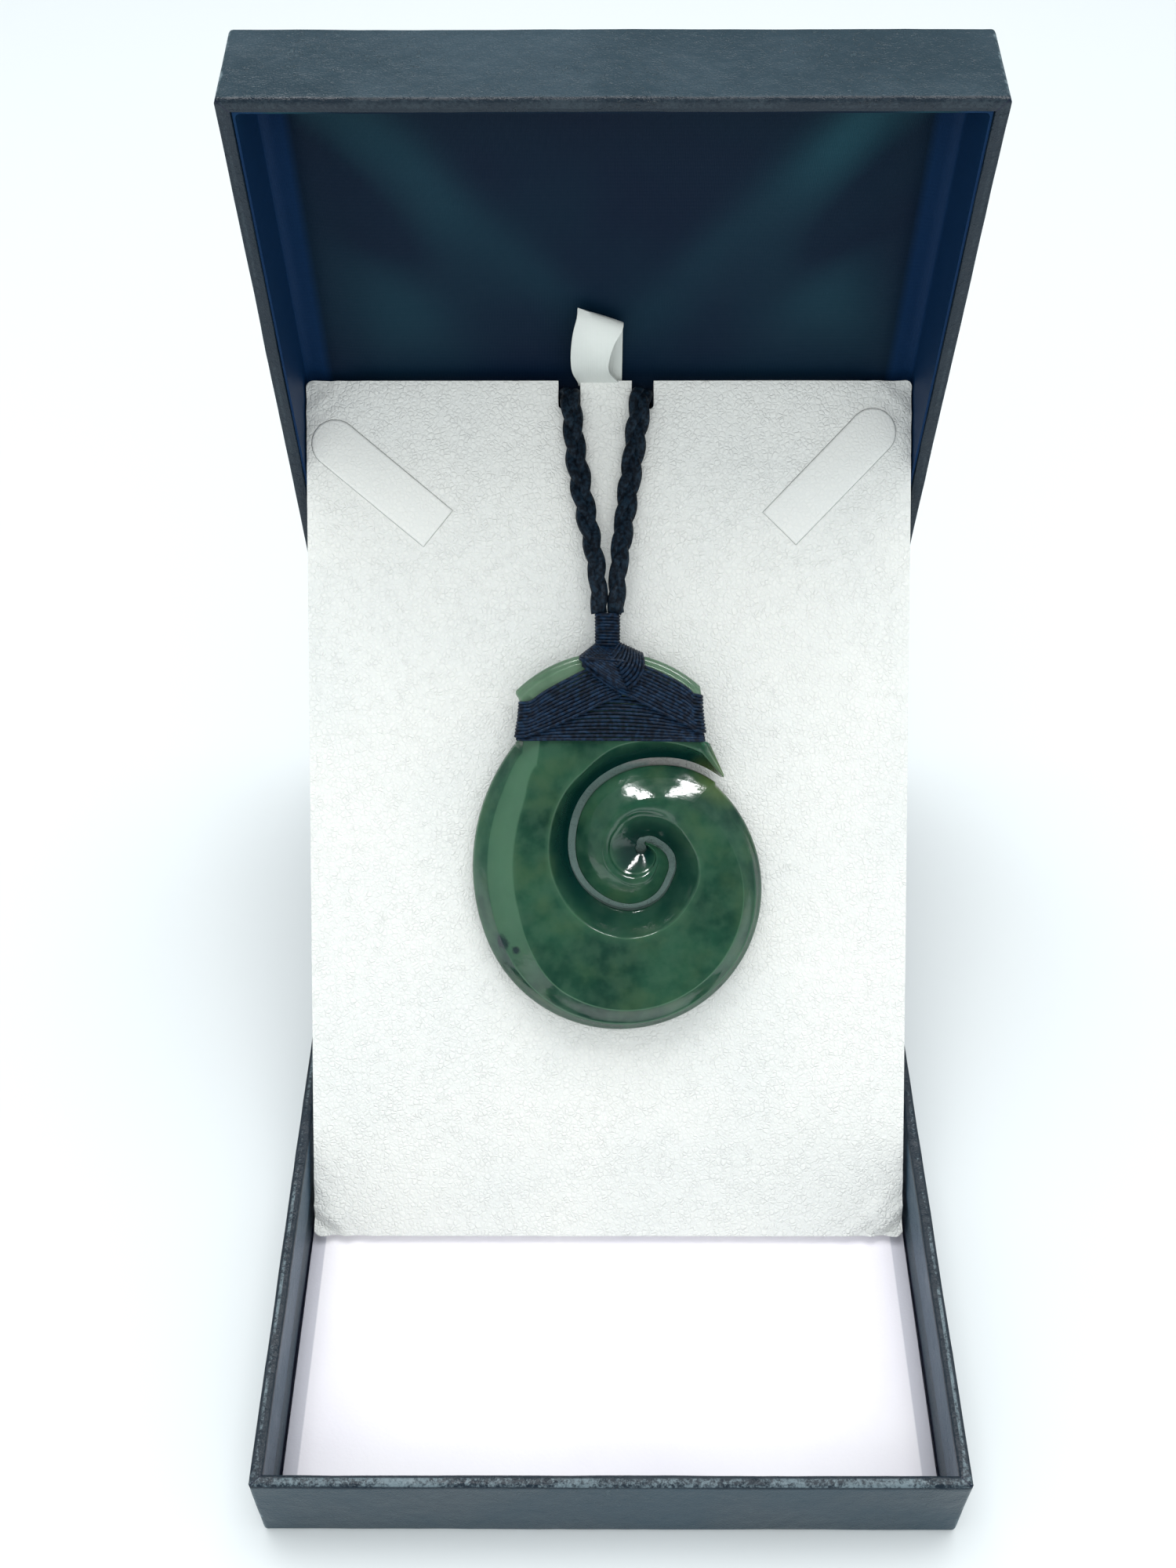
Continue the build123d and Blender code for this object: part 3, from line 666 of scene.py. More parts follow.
@dataclass(frozen=True)
class Jade:
    """Polished green jade, clouded, darker in the carved groove with painted shade and paler on its rims with painted
    sheen.
    """

    spots: list
    name: str = "jade"
    dark: tuple = rgb(13, 50, 40)
    middle: tuple = rgb(36, 78, 59)
    # pale: colour of random paler patches and of the painted sheen on ridges, facet lines and bevels.
    pale: tuple = rgb(76, 112, 88)
    cloud: tuple = rgb(62, 90, 62)
    # groove: painted shade in the groove, on the slot's walls and in the pit.
    groove: tuple = rgb(4, 40, 37)
    olive: tuple = rgb(104, 122, 62)
    speck: tuple = rgb(8, 26, 38)
    # cap: colour of the painted sheen on the polished cap.
    cap: tuple = rgb(104, 132, 108)
    roughness: float = 0.10
    ripple: float = 0.05

    def build(self) -> bpy.types.Material:
        """Makes the material.

        Returns:
            The material.
        """
        material, graph, shader = new_material(self.name)
        fine, cloud = patches(graph, 3.0, 5.0, 9.0), patches(graph, 7.0, 6.0, 15.0)
        colour = graph.blend(patches(graph, 13.0, 4.0, 2.0), self.dark, self.middle)
        colour = graph.blend(graph.times(fine, 0.25), colour, self.pale)
        colour = graph.blend(graph.times(graph.math("POWER", cloud, 3.0), 0.5), colour, self.cloud)
        # Painted sheen on the ridge, the facet lines and the bevels.
        colour = graph.blend(graph.times(attribute(graph, "pale"), 0.75), colour, self.pale)
        # Painted shade in the groove, on the slot's walls and in the pit.
        colour = graph.blend(attribute(graph, "groove"), colour, self.groove)
        colour = graph.blend(graph.times(attribute(graph, "olive"), 0.7), colour, self.olive)
        clear = graph.spread(cloud, 0.0, 1.0, 0.9, 0.6)
        # Painted sheen on the cap, a little weaker where the jade clouds.
        colour = graph.blend(graph.times(attribute(graph, "cap"), clear), colour, self.cap)
        where = graph.node("ShaderNodeTexCoord").outputs["Object"]
        ragged = graph.noise(where, 900.0, 3.0)[0]
        for spot, radius in self.spots:
            away = graph.vector("DISTANCE", {0: where, 1: spot * MM})["Value"]
            away = graph.math("ADD", away, graph.times(ragged, 1.1 * radius * MM))
            mark = graph.spread(away, 0.9 * radius * MM, 1.6 * radius * MM, 0.85, 0.0)
            colour = graph.blend(mark, colour, self.speck)
        rough = graph.spread(fine, 0.0, 1.0, self.roughness, self.roughness + 0.06)
        graph.put(shader, {"Base Color": colour, "Roughness": rough, "IOR": 1.61, "Subsurface Weight": 0.3})
        graph.put(shader, {"Subsurface Radius": (0.35, 1.0, 0.55), "Subsurface Scale": 2.2 * MM})
        bump(graph, shader, patches(graph, 5.0, 4.5, 5.0), self.ripple)
        return material


@dataclass(frozen=True)
class Thread:
    """Black waxed thread with a slight blue cast."""

    name: str
    dark: tuple = rgb(3, 15, 32)
    light: tuple = rgb(17, 45, 72)
    roughness: float = 0.5
    fuzz: float = 0.09
    gloss: float = 0.24

    def build(self) -> bpy.types.Material:
        """Makes the material.

        Returns:
            The material.
        """
        material, graph, shader = new_material(self.name)
        fibres = graph.effect(Effects.fibres(), Size=0.22).outputs
        colour = graph.blend(fibres["Wax"], self.dark, self.light)
        rough = graph.spread(fibres["Wax"], 0.0, 1.0, self.roughness + 0.1, self.roughness - 0.08)
        graph.put(shader, {"Base Color": colour, "Roughness": rough, "Specular IOR Level": self.gloss})
        bump(graph, shader, fibres["Height"], self.fuzz)
        return material


class Finishes:
    """Every finish, built once and handed out by its slot."""

    def __init__(self, layout: Layout) -> None:
        """Builds the materials.

        Args:
            layout: Says where the jade's dark spots lie.
        """
        self.materials = {
            Slot.BOX_LEATHERETTE: Leatherette().build(),
            Slot.TRAY_CARD: Card().build(),
            Slot.LID_SATIN: Satin(
                "lid_satin", rgb(6, 24, 45), rgb(9, 31, 49), rgb(29, 70, 82), rgb(30, 90, 110),
                roughness=0.5, gloss=0.10, sheen=0.05,
            ).build(),
            Slot.PAD_LEATHERETTE: PebbledLeather().build(),
            Slot.RIBBON_SATIN: Satin(
                "ribbon_satin", rgb(212, 217, 213), rgb(229, 233, 229), rgb(250, 250, 250), rgb(255, 255, 255),
                roughness=0.42, gloss=0.4, sheen=0.2, pitch=0.24,
            ).build(),
            Slot.JADE: Jade(layout.spots()).build(),
            Slot.WAXED_THREAD: Thread("waxed_thread").build(),
            Slot.PLAITED_CORD: Thread("plaited_cord", rgb(5, 14, 25), rgb(23, 42, 57), roughness=0.55).build(),
        }


@dataclass
class Assembly:
    """A sub-assembly, which knows the layout and the finishes."""

    layout: Layout
    finishes: Finishes

    def piece(
        self, bm: Mesh, name: str, node: str, slot: Slot, place: Matrix, body: Body = Body.BOX, sharp: float = math.pi
    ) -> bpy.types.Object:
        """Turns a bmesh into a dressed piece that rides on a body and stands for a solid.

        Args:
            bm: The closed mesh, in millimetres, which is freed.
            name: The piece's name.
            node: The solid that it stands for.
            slot: The record's slot of its finish.
            place: Where it goes.
            body: The body that it moves with.
            sharp: Edges that turn by more than this stay sharp, in radians.

        Returns:
            The new object.
        """
        bmesh.ops.transform(bm, matrix=Matrix.Scale(MM, 4) @ place, verts=bm.verts)
        mesh = to_mesh(bm, name)
        mesh.shade_smooth()
        if sharp < math.pi:
            mesh.set_sharp_from_angle(angle=sharp)
        mesh.materials.append(self.finishes.materials[slot])
        piece = add_object(name, mesh)
        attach(piece, body.value)
        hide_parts(node)
        LOG.info("%s: %d faces", name, len(mesh.polygons))
        return piece


def line_length(points: Sequence[Vector]) -> float:
    """Adds up the steps of a line."""
    return sum((after - before).length for before, after in zip(points, points[1:]))


def layer(bm: Mesh, name: str) -> object:
    """Finds or makes the numbers of a name at a mesh's vertices."""
    return bm.verts.layers.float.get(name) or bm.verts.layers.float.new(name)


def paint(bm: Mesh, name: str, value: Callable[[Vector], float]) -> None:
    """Writes a number at each vertex for the finish to read.

    Args:
        bm: The mesh.
        name: The attribute's name.
        value: Gives the number at a place.
    """
    numbers = layer(bm, name)
    for vert in bm.verts:
        vert[numbers] = value(vert.co)


def block(bm: Mesh, centre: tuple, size: tuple) -> None:
    """Adds a box of a size about a centre."""
    bmesh.ops.create_cube(bm, size=1.0, matrix=Matrix.Translation(centre) @ Matrix.Diagonal((*size, 1)))


def same(value: float, goal: float) -> bool:
    """Whether two sizes are the same within a micrometre."""
    return abs(value - goal) < 1e-3


def both_ends(edge: Edge, test: Callable[[Vector], bool]) -> bool:
    """Whether both ends of an edge pass a test."""
    return all(test(vert.co) for vert in edge.verts)


def is_upright(edge: Edge) -> bool:
    """Whether an edge runs up and down for more than a millimetre."""
    return abs((edge.verts[0].co - edge.verts[1].co).z) > 1


def cut_grid(bm: Mesh, axis: int, low: float, high: float, step: float) -> None:
    """Cuts a mesh by even planes so that it can bend.

    Args:
        bm: The mesh.
        axis: 0, 1 or 2 for planes across x, y or z.
        low: The first plane's place.
        high: The last plane's place.
        step: The distance between planes, at most.
    """
    normal = Vector([1.0 if n == axis else 0.0 for n in range(3)])
    count = max(1, math.ceil((high - low) / step))
    for number in range(count + 1):
        spot = normal * (low + (high - low) * number / count)
        geom = [*bm.verts, *bm.edges, *bm.faces]
        bmesh.ops.bisect_plane(bm, geom=geom, dist=1e-4, plane_co=spot, plane_no=normal)


def wobble(bm: Mesh, amount: float, size: float, seed: float) -> None:
    """Moves every vertex a little, as hand-laid work does.

    Args:
        bm: The mesh.
        amount: The largest move.
        size: The size of the swells.
        seed: Tells one piece's swells from another's.
    """
    shift = Vector((seed, seed * 1.7, seed * 0.6))
    for vert in bm.verts:
        vert.co += noise.noise_vector(vert.co / size + shift) * amount


def soften(bm: Mesh, edges: Iterable[Edge], radius: float, segments: int) -> None:
    """Rounds edges with an arc of a radius.

    Args:
        bm: The mesh.
        edges: The edges to round.
        radius: The arc's radius.
        segments: How many faces make the arc.
    """
    bmesh.ops.bevel(
        bm,
        geom=list(edges),
        offset=radius,
        offset_type="OFFSET",
        segments=segments,
        profile=0.5,
        affect="EDGES",
        material=-1,
        clamp_overlap=True,
    )


def hollow(bm: Mesh, wall: float, level: float) -> None:
    """Makes a tray of a block by pushing its top in.

    Args:
        bm: The block.
        wall: How thick the walls stay.
        level: The floor's height.
    """
    mouth = max(bm.faces, key=lambda face: face.calc_center_median().z)
    bmesh.ops.inset_region(bm, faces=[mouth], thickness=wall, use_even_offset=True)
    made = bmesh.ops.extrude_face_region(bm, geom=[mouth])["geom"]
    for vert in [item for item in made if isinstance(item, bmesh.types.BMVert)]:
        vert.co.z = level
    if mouth.is_valid:
        bmesh.ops.delete(bm, geom=[mouth], context="FACES_ONLY")


def loft(bm: Mesh, rings: Sequence[Ring], values: Sequence[dict[str, Sequence[float]]] = ()) -> None:
    """Bends a grid round through a row of closed rings, welds its seam and closes both ends.

    Args:
        bm: The mesh that the skin goes into.
        rings: Rings with equal numbers of points.
        values: For each ring, numbers by attribute name and point.
    """
    layers = {name: layer(bm, name) for name in (values[0] if values else ())}
    rows, count = len(rings) - 1, len(rings[0])
    made = bmesh.ops.create_grid(bm, x_segments=rows, y_segments=count, size=0.5)["verts"]
    seam: dict[tuple[int, int], bmesh.types.BMVert] = {}
    for vert in made:
        row, spot = round((vert.co.x + 0.5) * rows), round((vert.co.y + 0.5) * count)
        seam[row, spot] = vert
        vert.co = rings[row][spot % count]
        for name, numbers in layers.items():
            vert[numbers] = values[row][name][spot % count]
    ends = [seam[row, spot] for row in (0, rows) for spot in range(count)]
    bmesh.ops.weld_verts(bm, targetmap={seam[row, count]: seam[row, 0] for row in range(rows + 1)})
    border = {edge for vert in ends for edge in vert.link_edges if edge.is_boundary}
    bmesh.ops.holes_fill(bm, edges=list(border), sides=0)


def tube(bm: Mesh, path: Sequence[Vector], radius: float, sides: int = 6) -> None:
    """Sweeps a round thread along points.

    Args:
        bm: The mesh that the thread goes into.
        path: Its centreline.
        radius: Its radius.
        sides: Corners of its section.
    """
    rings = []
    across = (path[1] - path[0]).orthogonal().normalized()
    for number, point in enumerate(path):
        ahead = path[min(number + 1, len(path) - 1)] - path[max(number - 1, 0)]
        along = ahead.normalized()
        across = (across - along * across.dot(along)).normalized()
        other = along.cross(across)
        ring = []
        for side in range(sides):
            turn = math.tau * side / sides
            ring.append(point + (across * math.cos(turn) + other * math.sin(turn)) * radius)
        rings.append(ring)
    loft(bm, rings)


def curve_points(points: Sequence[Vector], density: int) -> list[Vector]:
    """Reads a smooth NURBS line through a route's control points.

    Args:
        points: The control points, in metres.
        density: Steps for each control point.

    Returns:
        Points along the line.
    """
    curve = bpy.data.curves.new("route", "CURVE")
    curve.dimensions = "3D"
    curve.resolution_u = density
    spline = curve.splines.new("NURBS")
    spline.points.add(len(points) - 1)
    for spot, point in zip(spline.points, points):
        spot.co = (*point, 1.0)
    spline.order_u = 3
    spline.use_endpoint_u = True
    carrier = add_object("route", curve)
    mesh = bpy.data.meshes.new_from_object(carrier)
    found = [vert.co.copy() for vert in mesh.vertices]
    bpy.data.objects.remove(carrier)
    bpy.data.curves.remove(curve)
    bpy.data.meshes.remove(mesh)
    return found


def even_points(points: Sequence[Vector], step: float) -> list[Vector]:
    """Spaces points evenly along a line.

    Args:
        points: The line.
        step: The distance between points.

    Returns:
        The even points, from end to end.
    """
    lengths = [0.0]
    for before, after in zip(points, points[1:]):
        lengths.append(lengths[-1] + (after - before).length)
    count = max(2, round(lengths[-1] / step))
    found, place = [], 0
    for number in range(count + 1):
        goal = lengths[-1] * number / count
        while place < len(lengths) - 2 and lengths[place + 1] < goal:
            place += 1
        share = (goal - lengths[place]) / max(lengths[place + 1] - lengths[place], 1e-9)
        found.append(points[place].lerp(points[place + 1], min(share, 1.0)))
    return found


@dataclass
class Photograph:
    """Camera, floor and light, as in the photograph."""

    position: tuple[float, float, float] = (-2.595, -185.396, 284.571)
    pitch: float = math.radians(46.734)
    yaw: float = math.radians(0.326)
    roll: float = math.radians(0.222)
    focal: float = 37.90
    shift: float = 0.0209
    sky: tuple = (0.93, 0.975, 0.985, 1.0)
    mirrored_sky: tuple = (0.26, 0.30, 0.31, 1.0)
    viewer_shade: tuple = (0.05, 0.06, 0.06, 1.0)
    shade_edge: float = math.cos(math.radians(55))
    shade_core: float = math.cos(math.radians(24))
    sky_strength: float = 0.9
    lit: tuple[float, float, float] = (0.0, 0.02, 0.08)
    floor_half: float = 2.5
    floor_drop: float = 0.2
    floor_colour: tuple = rgb(227, 232, 234)
    lights: tuple = (
        ("window_above", (0.0, 0.16, 1.15), (0.9, 0.6), 6.6, False),
        ("window_behind_viewer", (0.0, -0.75, 0.62), (0.9, 0.5), 2.3, False),
        ("lamp_left", (-0.20, 0.16, 0.95), (0.08, 0.45), 4.0, True),
        ("lamp_right", (0.41, 0.15, 0.95), (0.12, 0.4), 4.0, True),
    )

    def camera(self) -> None:
        """Makes the camera."""
        level = math.cos(self.pitch)
        forward = Vector((-math.sin(self.yaw) * level, math.cos(self.yaw) * level, -math.sin(self.pitch)))
        right = Vector((math.cos(self.yaw), math.sin(self.yaw), 0))
        up = right.cross(forward)
        rolled_right = right * math.cos(self.roll) - up * math.sin(self.roll)
        rolled_up = right * math.sin(self.roll) + up * math.cos(self.roll)
        data = bpy.data.cameras.new("camera")
        data.lens = self.focal
        data.shift_y = self.shift
        data.clip_start = 0.01
        data.clip_end = 20
        camera = add_object("camera", data)
        camera.matrix_world = place_matrix(Vector(self.position) * MM, rolled_right, rolled_up, -forward)
        bpy.context.scene.camera = camera

    def floor(self) -> None:
        """Lays a plain pale floor under the box."""
        bm = bmesh.new()
        bmesh.ops.create_grid(bm, x_segments=1, y_segments=1, size=self.floor_half)
        bmesh.ops.translate(bm, verts=bm.verts, vec=(0, 0, -self.floor_drop * MM))
        floor = add_object("floor", to_mesh(bm, "floor"))
        material, graph, shader = new_material("floor_paper")
        graph.put(shader, {"Base Color": self.floor_colour, "Roughness": 0.8})
        floor.data.materials.append(material)

    def area(self, name: str, place: tuple, size: Pair, power: float, mirrored: bool) -> None:
        """Adds a soft rectangular light that faces the pendant.

        Args:
            name: The light's name.
            place: Where it hangs, in metres.
            size: Its width and height.
            power: Its power in watts.
            mirrored: Whether polished things mirror it; such a light gives nothing else.
        """
        data = bpy.data.lights.new(name, "AREA")
        data.shape = "RECTANGLE"
        data.size, data.size_y = size
        data.energy = power
        light = add_object(name, data)
        light.location = place
        light.rotation_euler = (Vector(self.lit) - Vector(place)).to_track_quat("-Z", "Y").to_euler()
        light.visible_glossy, light.visible_diffuse = mirrored, not mirrored

    def light(self) -> None:
        """Sets the pale surroundings and the soft lights."""
        world = bpy.data.worlds.new("surroundings")
        world.use_nodes = True
        graph = Graph(world.node_tree)
        back = world.node_tree.nodes["Background"]
        way = graph.node("ShaderNodeTexCoord").outputs["Generated"]
        to_viewer = Vector(self.position).normalized()
        facing = graph.vector("DOT_PRODUCT", {0: way, 1: to_viewer})["Value"]
        shade = graph.spread(facing, self.shade_edge, self.shade_core)
        mirrored = graph.blend(shade, self.mirrored_sky, self.viewer_shade)
        is_mirrored = graph.node("ShaderNodeLightPath").outputs["Is Glossy Ray"]
        graph.put(back, {0: graph.blend(is_mirrored, self.sky, mirrored), 1: self.sky_strength})
        bpy.context.scene.world = world
        for name, place, size, power, is_lamp in self.lights:
            self.area(name, place, size, power, is_lamp)
        bpy.context.scene.view_settings.view_transform = "Standard"


@dataclass
class NeckCord(Assembly):
    """Plaited cord of three strands, one loop from the whipping round behind the pad and back."""

    diameter: float = 3.0
    spacing: float = 3.1
    neck_x: float = -2.2
    neck_z: float = 2.6
    neck_top: float = 50.4
    lead: float = 6.5
    plait_length: float = 16.2
    sway: float = 1.05
    crossing: float = 0.5
    strand_radius: float = 0.97
    thread_bulge: float = 0.07
    threads: int = 9
    taper: float = 26.0
    step: float = 0.55
    sides: int = 27
    unevenness: float = 0.15
    end_swing: float = 0.68
    end_strand: float = 0.84
    flatness: float = 0.86
    turn_rate: float = 0.8
    left_front: tuple = ((-4.5, 136.2, 1.9), (-6.2, 146.4, 1.85), (-7.2, 157.4, 1.85), (-7.25, 155.2, -4.8))
    right_front: tuple = ((6.15, 155.2, -4.8), (6.1, 157.4, 1.85), (4.6, 146.2, 1.85), (3.3, 136.5, 1.9))
    hidden: tuple = (
        (-8.8, 78.6, 103.0), (-9.8, 78.2, 82.0), (-11.0, 77.9, 59.0), (-13.8, 77.5, 36.5),
        (-20.0, 76.8, 16.5), (-33.0, 75.4, 5.0), (-46.5, 70.8, 3.9), (-52.0, 56.5, 3.85),
        (-51.8, 35.0, 3.9), (-51.4, 12.0, 3.85), (-47.0, -9.0, 3.9), (-32.0, -19.8, 3.85),
        (-10.0, -21.6, 3.9), (13.5, -20.9, 3.85), (34.5, -18.0, 3.9), (48.2, -6.0, 3.85),
        (51.6, 14.5, 3.9), (52.0, 37.5, 3.85), (51.6, 58.0, 3.9), (45.0, 71.8, 3.95),
        (31.0, 75.6, 5.4), (18.5, 76.9, 18.0), (12.6, 77.6, 38.5), (10.0, 78.0, 61.0),
        (8.6, 78.3, 84.0), (7.4, 78.7, 104.0),
    )

    def route(self) -> list[Vector]:
        """The cord's control points, in metres.

        Returns:
            The points.
        """
        pad, stone = self.layout.pad_place, self.layout.stone_place
        ends = []
        for side in (-1, 1):
            x = self.neck_x + side * self.spacing / 2
            pair = [(x, self.neck_top, self.neck_z), (x, self.neck_top + self.lead, self.neck_z)]
            ends.append([stone @ Vector(point) for point in pair])
        points = list(ends[0])
        points += [pad @ Vector(point) for point in self.left_front]
        points += [Vector(point) for point in self.hidden]
        points += [pad @ Vector(point) for point in self.right_front]
        points += reversed(ends[1])
        return [point * MM for point in points]

    def strand_rings(self, path: Sequence[Vector], number: int) -> list[Ring]:
        """Sections of one strand of the plait along the cord.

        Args:
            path: Even points of the cord, in millimetres.
            number: Which strand, 0 to 2.

        Returns:
            The strand's rings.
        """
        face = self.layout.pad_place.to_3x3() @ Vector((0, 0, 1))
        rings = []
        for place, point in enumerate(path):
            ahead = path[min(place + 1, len(path) - 1)] - path[max(place - 1, 0)]
            along = ahead.normalized()
            face = (face - along * face.dot(along)).normalized()
            across = along.cross(face)
            distance, left = place * self.step, (len(path) - 1 - place) * self.step
            phase = math.tau * (distance / self.plait_length + number / 3)
            uneven = 1 + self.unevenness * noise.noise(Vector((distance / 5.3, number * 7.1, 0)))
            full = min(1.0, distance / self.taper, left / self.taper)
            swing = (self.end_swing + (1 - self.end_swing) * full) * uneven
            middle = point + across * (self.sway * swing * math.sin(phase))
            middle += face * (self.crossing * swing * math.sin(2 * phase))
            slope = math.cos(phase) * self.sway * math.tau / self.plait_length
            lean = (along + across * slope).normalized()
            side_way = (across - lean * across.dot(lean)).normalized()
            radius = self.strand_radius * uneven * (self.end_strand + (1 - self.end_strand) * full)
            ring = []
            for side in range(self.sides):
                turn = math.tau * side / self.sides
                lobes = math.cos(self.threads * turn + distance * self.turn_rate + number)
                reach = radius + self.thread_bulge * lobes
                out = face * (reach * self.flatness * math.sin(turn))
                ring.append(middle + side_way * (reach * math.cos(turn)) + out)
            rings.append(ring)
        return rings

    def build(self) -> None:
        route = self.route()
        fine = curve_points(route, 24)
        path = even_points([point / MM for point in fine], self.step)
        bm = bmesh.new()
        for number in range(3):
            loft(bm, self.strand_rings(path, number))
        bmesh.ops.recalc_face_normals(bm, faces=bm.faces)
        piece = self.piece(bm, "plaited_cord", "cord", Slot.PLAITED_CORD, FRAME)


@dataclass
class Tray(Assembly):
    """An open leatherette-covered board tray, used for the base and again for the lid."""

    name: str
    place: Matrix
    body: Body
    node: str
    hinge_cut: float
    seed: float
    scuffed: float
    edge_round: float = 0.8
    rim_round: float = 0.45
    turn_in: float = 9.4
    turn_in_step: float = 0.14
    cell: float = 3.0

    def shell(self) -> Mesh:
        """The tray's board and cover as one body.

        Returns:
            The tray.
        """
        size = self.layout
        bm = bmesh.new()
        block(bm, (0, 0, size.height / 2), (size.width, size.depth, size.height))
        hollow(bm, size.wall, size.board)
        return bm

    def round_edges(self, bm: Mesh) -> None:
        """Rounds the outer edges, the rim and the inner corners, and cuts the rim away at the hinge.

        Args:
            bm: The tray.
        """
        size = self.layout
        half_x, half_y = size.width / 2, size.depth / 2

        def on_top(spot: Vector) -> bool:
            return same(spot.z, size.height)

        hinge = [e for e in bm.edges if both_ends(e, lambda p: on_top(p) and same(p.y, half_y))]
        soften(bm, hinge, self.hinge_cut, 1)
        outer = [
            e
            for e in bm.edges
            if both_ends(e, lambda p: same(abs(p.x), half_x) and same(abs(p.y), half_y))
            or (both_ends(e, lambda p: same(p.z, 0)) and len(e.link_faces) == 2)
        ]
        soften(bm, outer, self.edge_round, 4)
        top = [e for e in bm.edges if both_ends(e, on_top) and e.calc_face_angle(0.0) > math.radians(50)]
        soften(bm, top, self.rim_round, 3)

    def shape(self, bm: Mesh) -> None:
        """Adds the turned-in band's step and the slight swell of laid leatherette.

        Args:
            bm: The tray.
        """
        size = self.layout
        cut_grid(bm, 0, -size.width / 2 + 2, size.width / 2 - 2, self.cell)
        cut_grid(bm, 1, -size.depth / 2 + 2, size.depth / 2 - 2, self.cell)
        fold = size.height - self.turn_in
        for level in (fold, fold - 0.3, 3.0, 3.4, 14.0, 17.2):
            cut_grid(bm, 2, level, level, 1.0)
        for vert in bm.verts:
            if size.board - 0.01 < vert.co.z < fold - 0.2:
                if abs(abs(vert.co.x) - size.inner_width / 2) < 0.01:
                    vert.co.x += math.copysign(self.turn_in_step, vert.co.x)
                if abs(abs(vert.co.y) - size.inner_depth / 2) < 0.01:
                    vert.co.y += math.copysign(self.turn_in_step, vert.co.y)
        wobble(bm, 0.1, 17.0, self.seed)
        wobble(bm, 0.05, 4.0, self.seed + 3)

    def depths(self, place: Vector) -> Pair:
        """Distances in from the outer side and end faces."""
        return self.layout.width / 2 - abs(place.x), self.layout.depth / 2 - abs(place.y)

    def wear(self, place: Vector) -> float:
        """How rubbed the cover is at a place, along its outer edges.

        Args:
            place: The place.

        Returns:
            The wear, 0 to 1.
        """
        depth_x, depth_y = self.depths(place)
        if min(depth_x, depth_y) > 0.9 or place.z > self.layout.height - 1.0:
            return 0.0
        return 0.75 * max(bell(max(depth_x, depth_y), 1.2), bell(place.z, 0.8))

    def build(self) -> None:
        """Makes the tray."""
        size = self.layout
        bm = self.shell()
        self.round_edges(bm)
        self.shape(bm)
        bmesh.ops.recalc_face_normals(bm, faces=bm.faces)
        top, fold = size.height - 0.7, size.height - self.turn_in

        def inside(place: Vector, low: float, high: float) -> float:
            return float(min(self.depths(place)) > size.wall - 0.35 and low < place.z < high)

        paint(bm, "wear", self.wear)
        paint(bm, "rim", lambda spot: float(spot.z > top))
        paint(bm, "scuffed", lambda spot: self.scuffed if spot.z > top else 0.0)
        paint(bm, "inward", lambda spot: min(self.depths(spot)))
        paint(bm, "mitre", lambda spot: self.depths(spot)[0] - self.depths(spot)[1])
        paint(bm, "front", lambda spot: float(spot.y < 2.5 - size.depth / 2))
        # Painted shade at the foot of the inner walls.
        paint(bm, "deep", lambda spot: inside(spot, 0.5, 3.2))
        # The turned-in band is real; its lighter colour is painted light on the upper inner wall.
        paint(bm, "turned", lambda spot: inside(spot, fold - 0.1, top))
        self.piece(bm, self.name, self.node, Slot.BOX_LEATHERETTE, self.place, self.body, math.radians(50))


@dataclass
class HingeStrip(Assembly):
    """The folded leatherette that joins the lid to the base."""

    radius: float = 1.1
    rolls: int = 14
    worn: float = 0.55

    def build(self) -> None:
        """Makes the strip as a slightly uneven roll along the back rim."""
        size = self.layout
        bm = bmesh.new()
        place = Matrix.Translation((0, size.depth / 2, size.height)) @ Matrix.Rotation(math.radians(90), 4, "Y")
        ends = {"radius1": self.radius, "radius2": self.radius}
        bmesh.ops.create_cone(bm, cap_ends=True, segments=20, depth=size.width, matrix=place, **ends)
        soften(bm, [e for e in bm.edges if e.calc_face_angle(0.0) > 1.0], 0.25, 3)
        cut_grid(bm, 0, -size.width / 2 + 1, size.width / 2 - 1, size.width / self.rolls)
        wobble(bm, 0.06, 6.0, 9.0)
        bmesh.ops.recalc_face_normals(bm, faces=bm.faces)
        paint(bm, "wear", lambda spot: self.worn)
        self.piece(bm, "hinge_fold", "hinge_spine", Slot.BOX_LEATHERETTE, FRAME)


@dataclass
class TrayFloor(Assembly):
    """The pale card on the floor of the base, a little darker in a strip along its sides."""

    strip_width: float = 2.6
    swell: float = 0.06

    def build(self) -> None:
        """Makes the card with soft cut edges."""
        size = self.layout
        bm = bmesh.new()
        middle, gaps = size.board + size.card / 2, 2 * size.card_gap
        block(bm, (0, 0, middle), (size.inner_width - gaps, size.inner_depth - gaps, size.card))
        soften(bm, bm.edges, 0.15, 2)
        strip = size.inner_width / 2 - self.strip_width
        for level in (strip, strip - 0.25, -strip, 0.25 - strip):
            cut_grid(bm, 0, level, level, 1.0)
        cut_grid(bm, 0, -50, 50, 10)
        cut_grid(bm, 1, -75, 75, 10)
        for vert in bm.verts:
            if vert.co.z > middle:
                vert.co.z += self.swell * noise.noise(vert.co / 30)
        paint(bm, "strip", lambda spot: float(abs(spot.x) > strip - 0.05))
        bmesh.ops.recalc_face_normals(bm, faces=bm.faces)
        self.piece(bm, "floor_card", "tray_floor", Slot.TRAY_CARD, FRAME, sharp=math.radians(50))


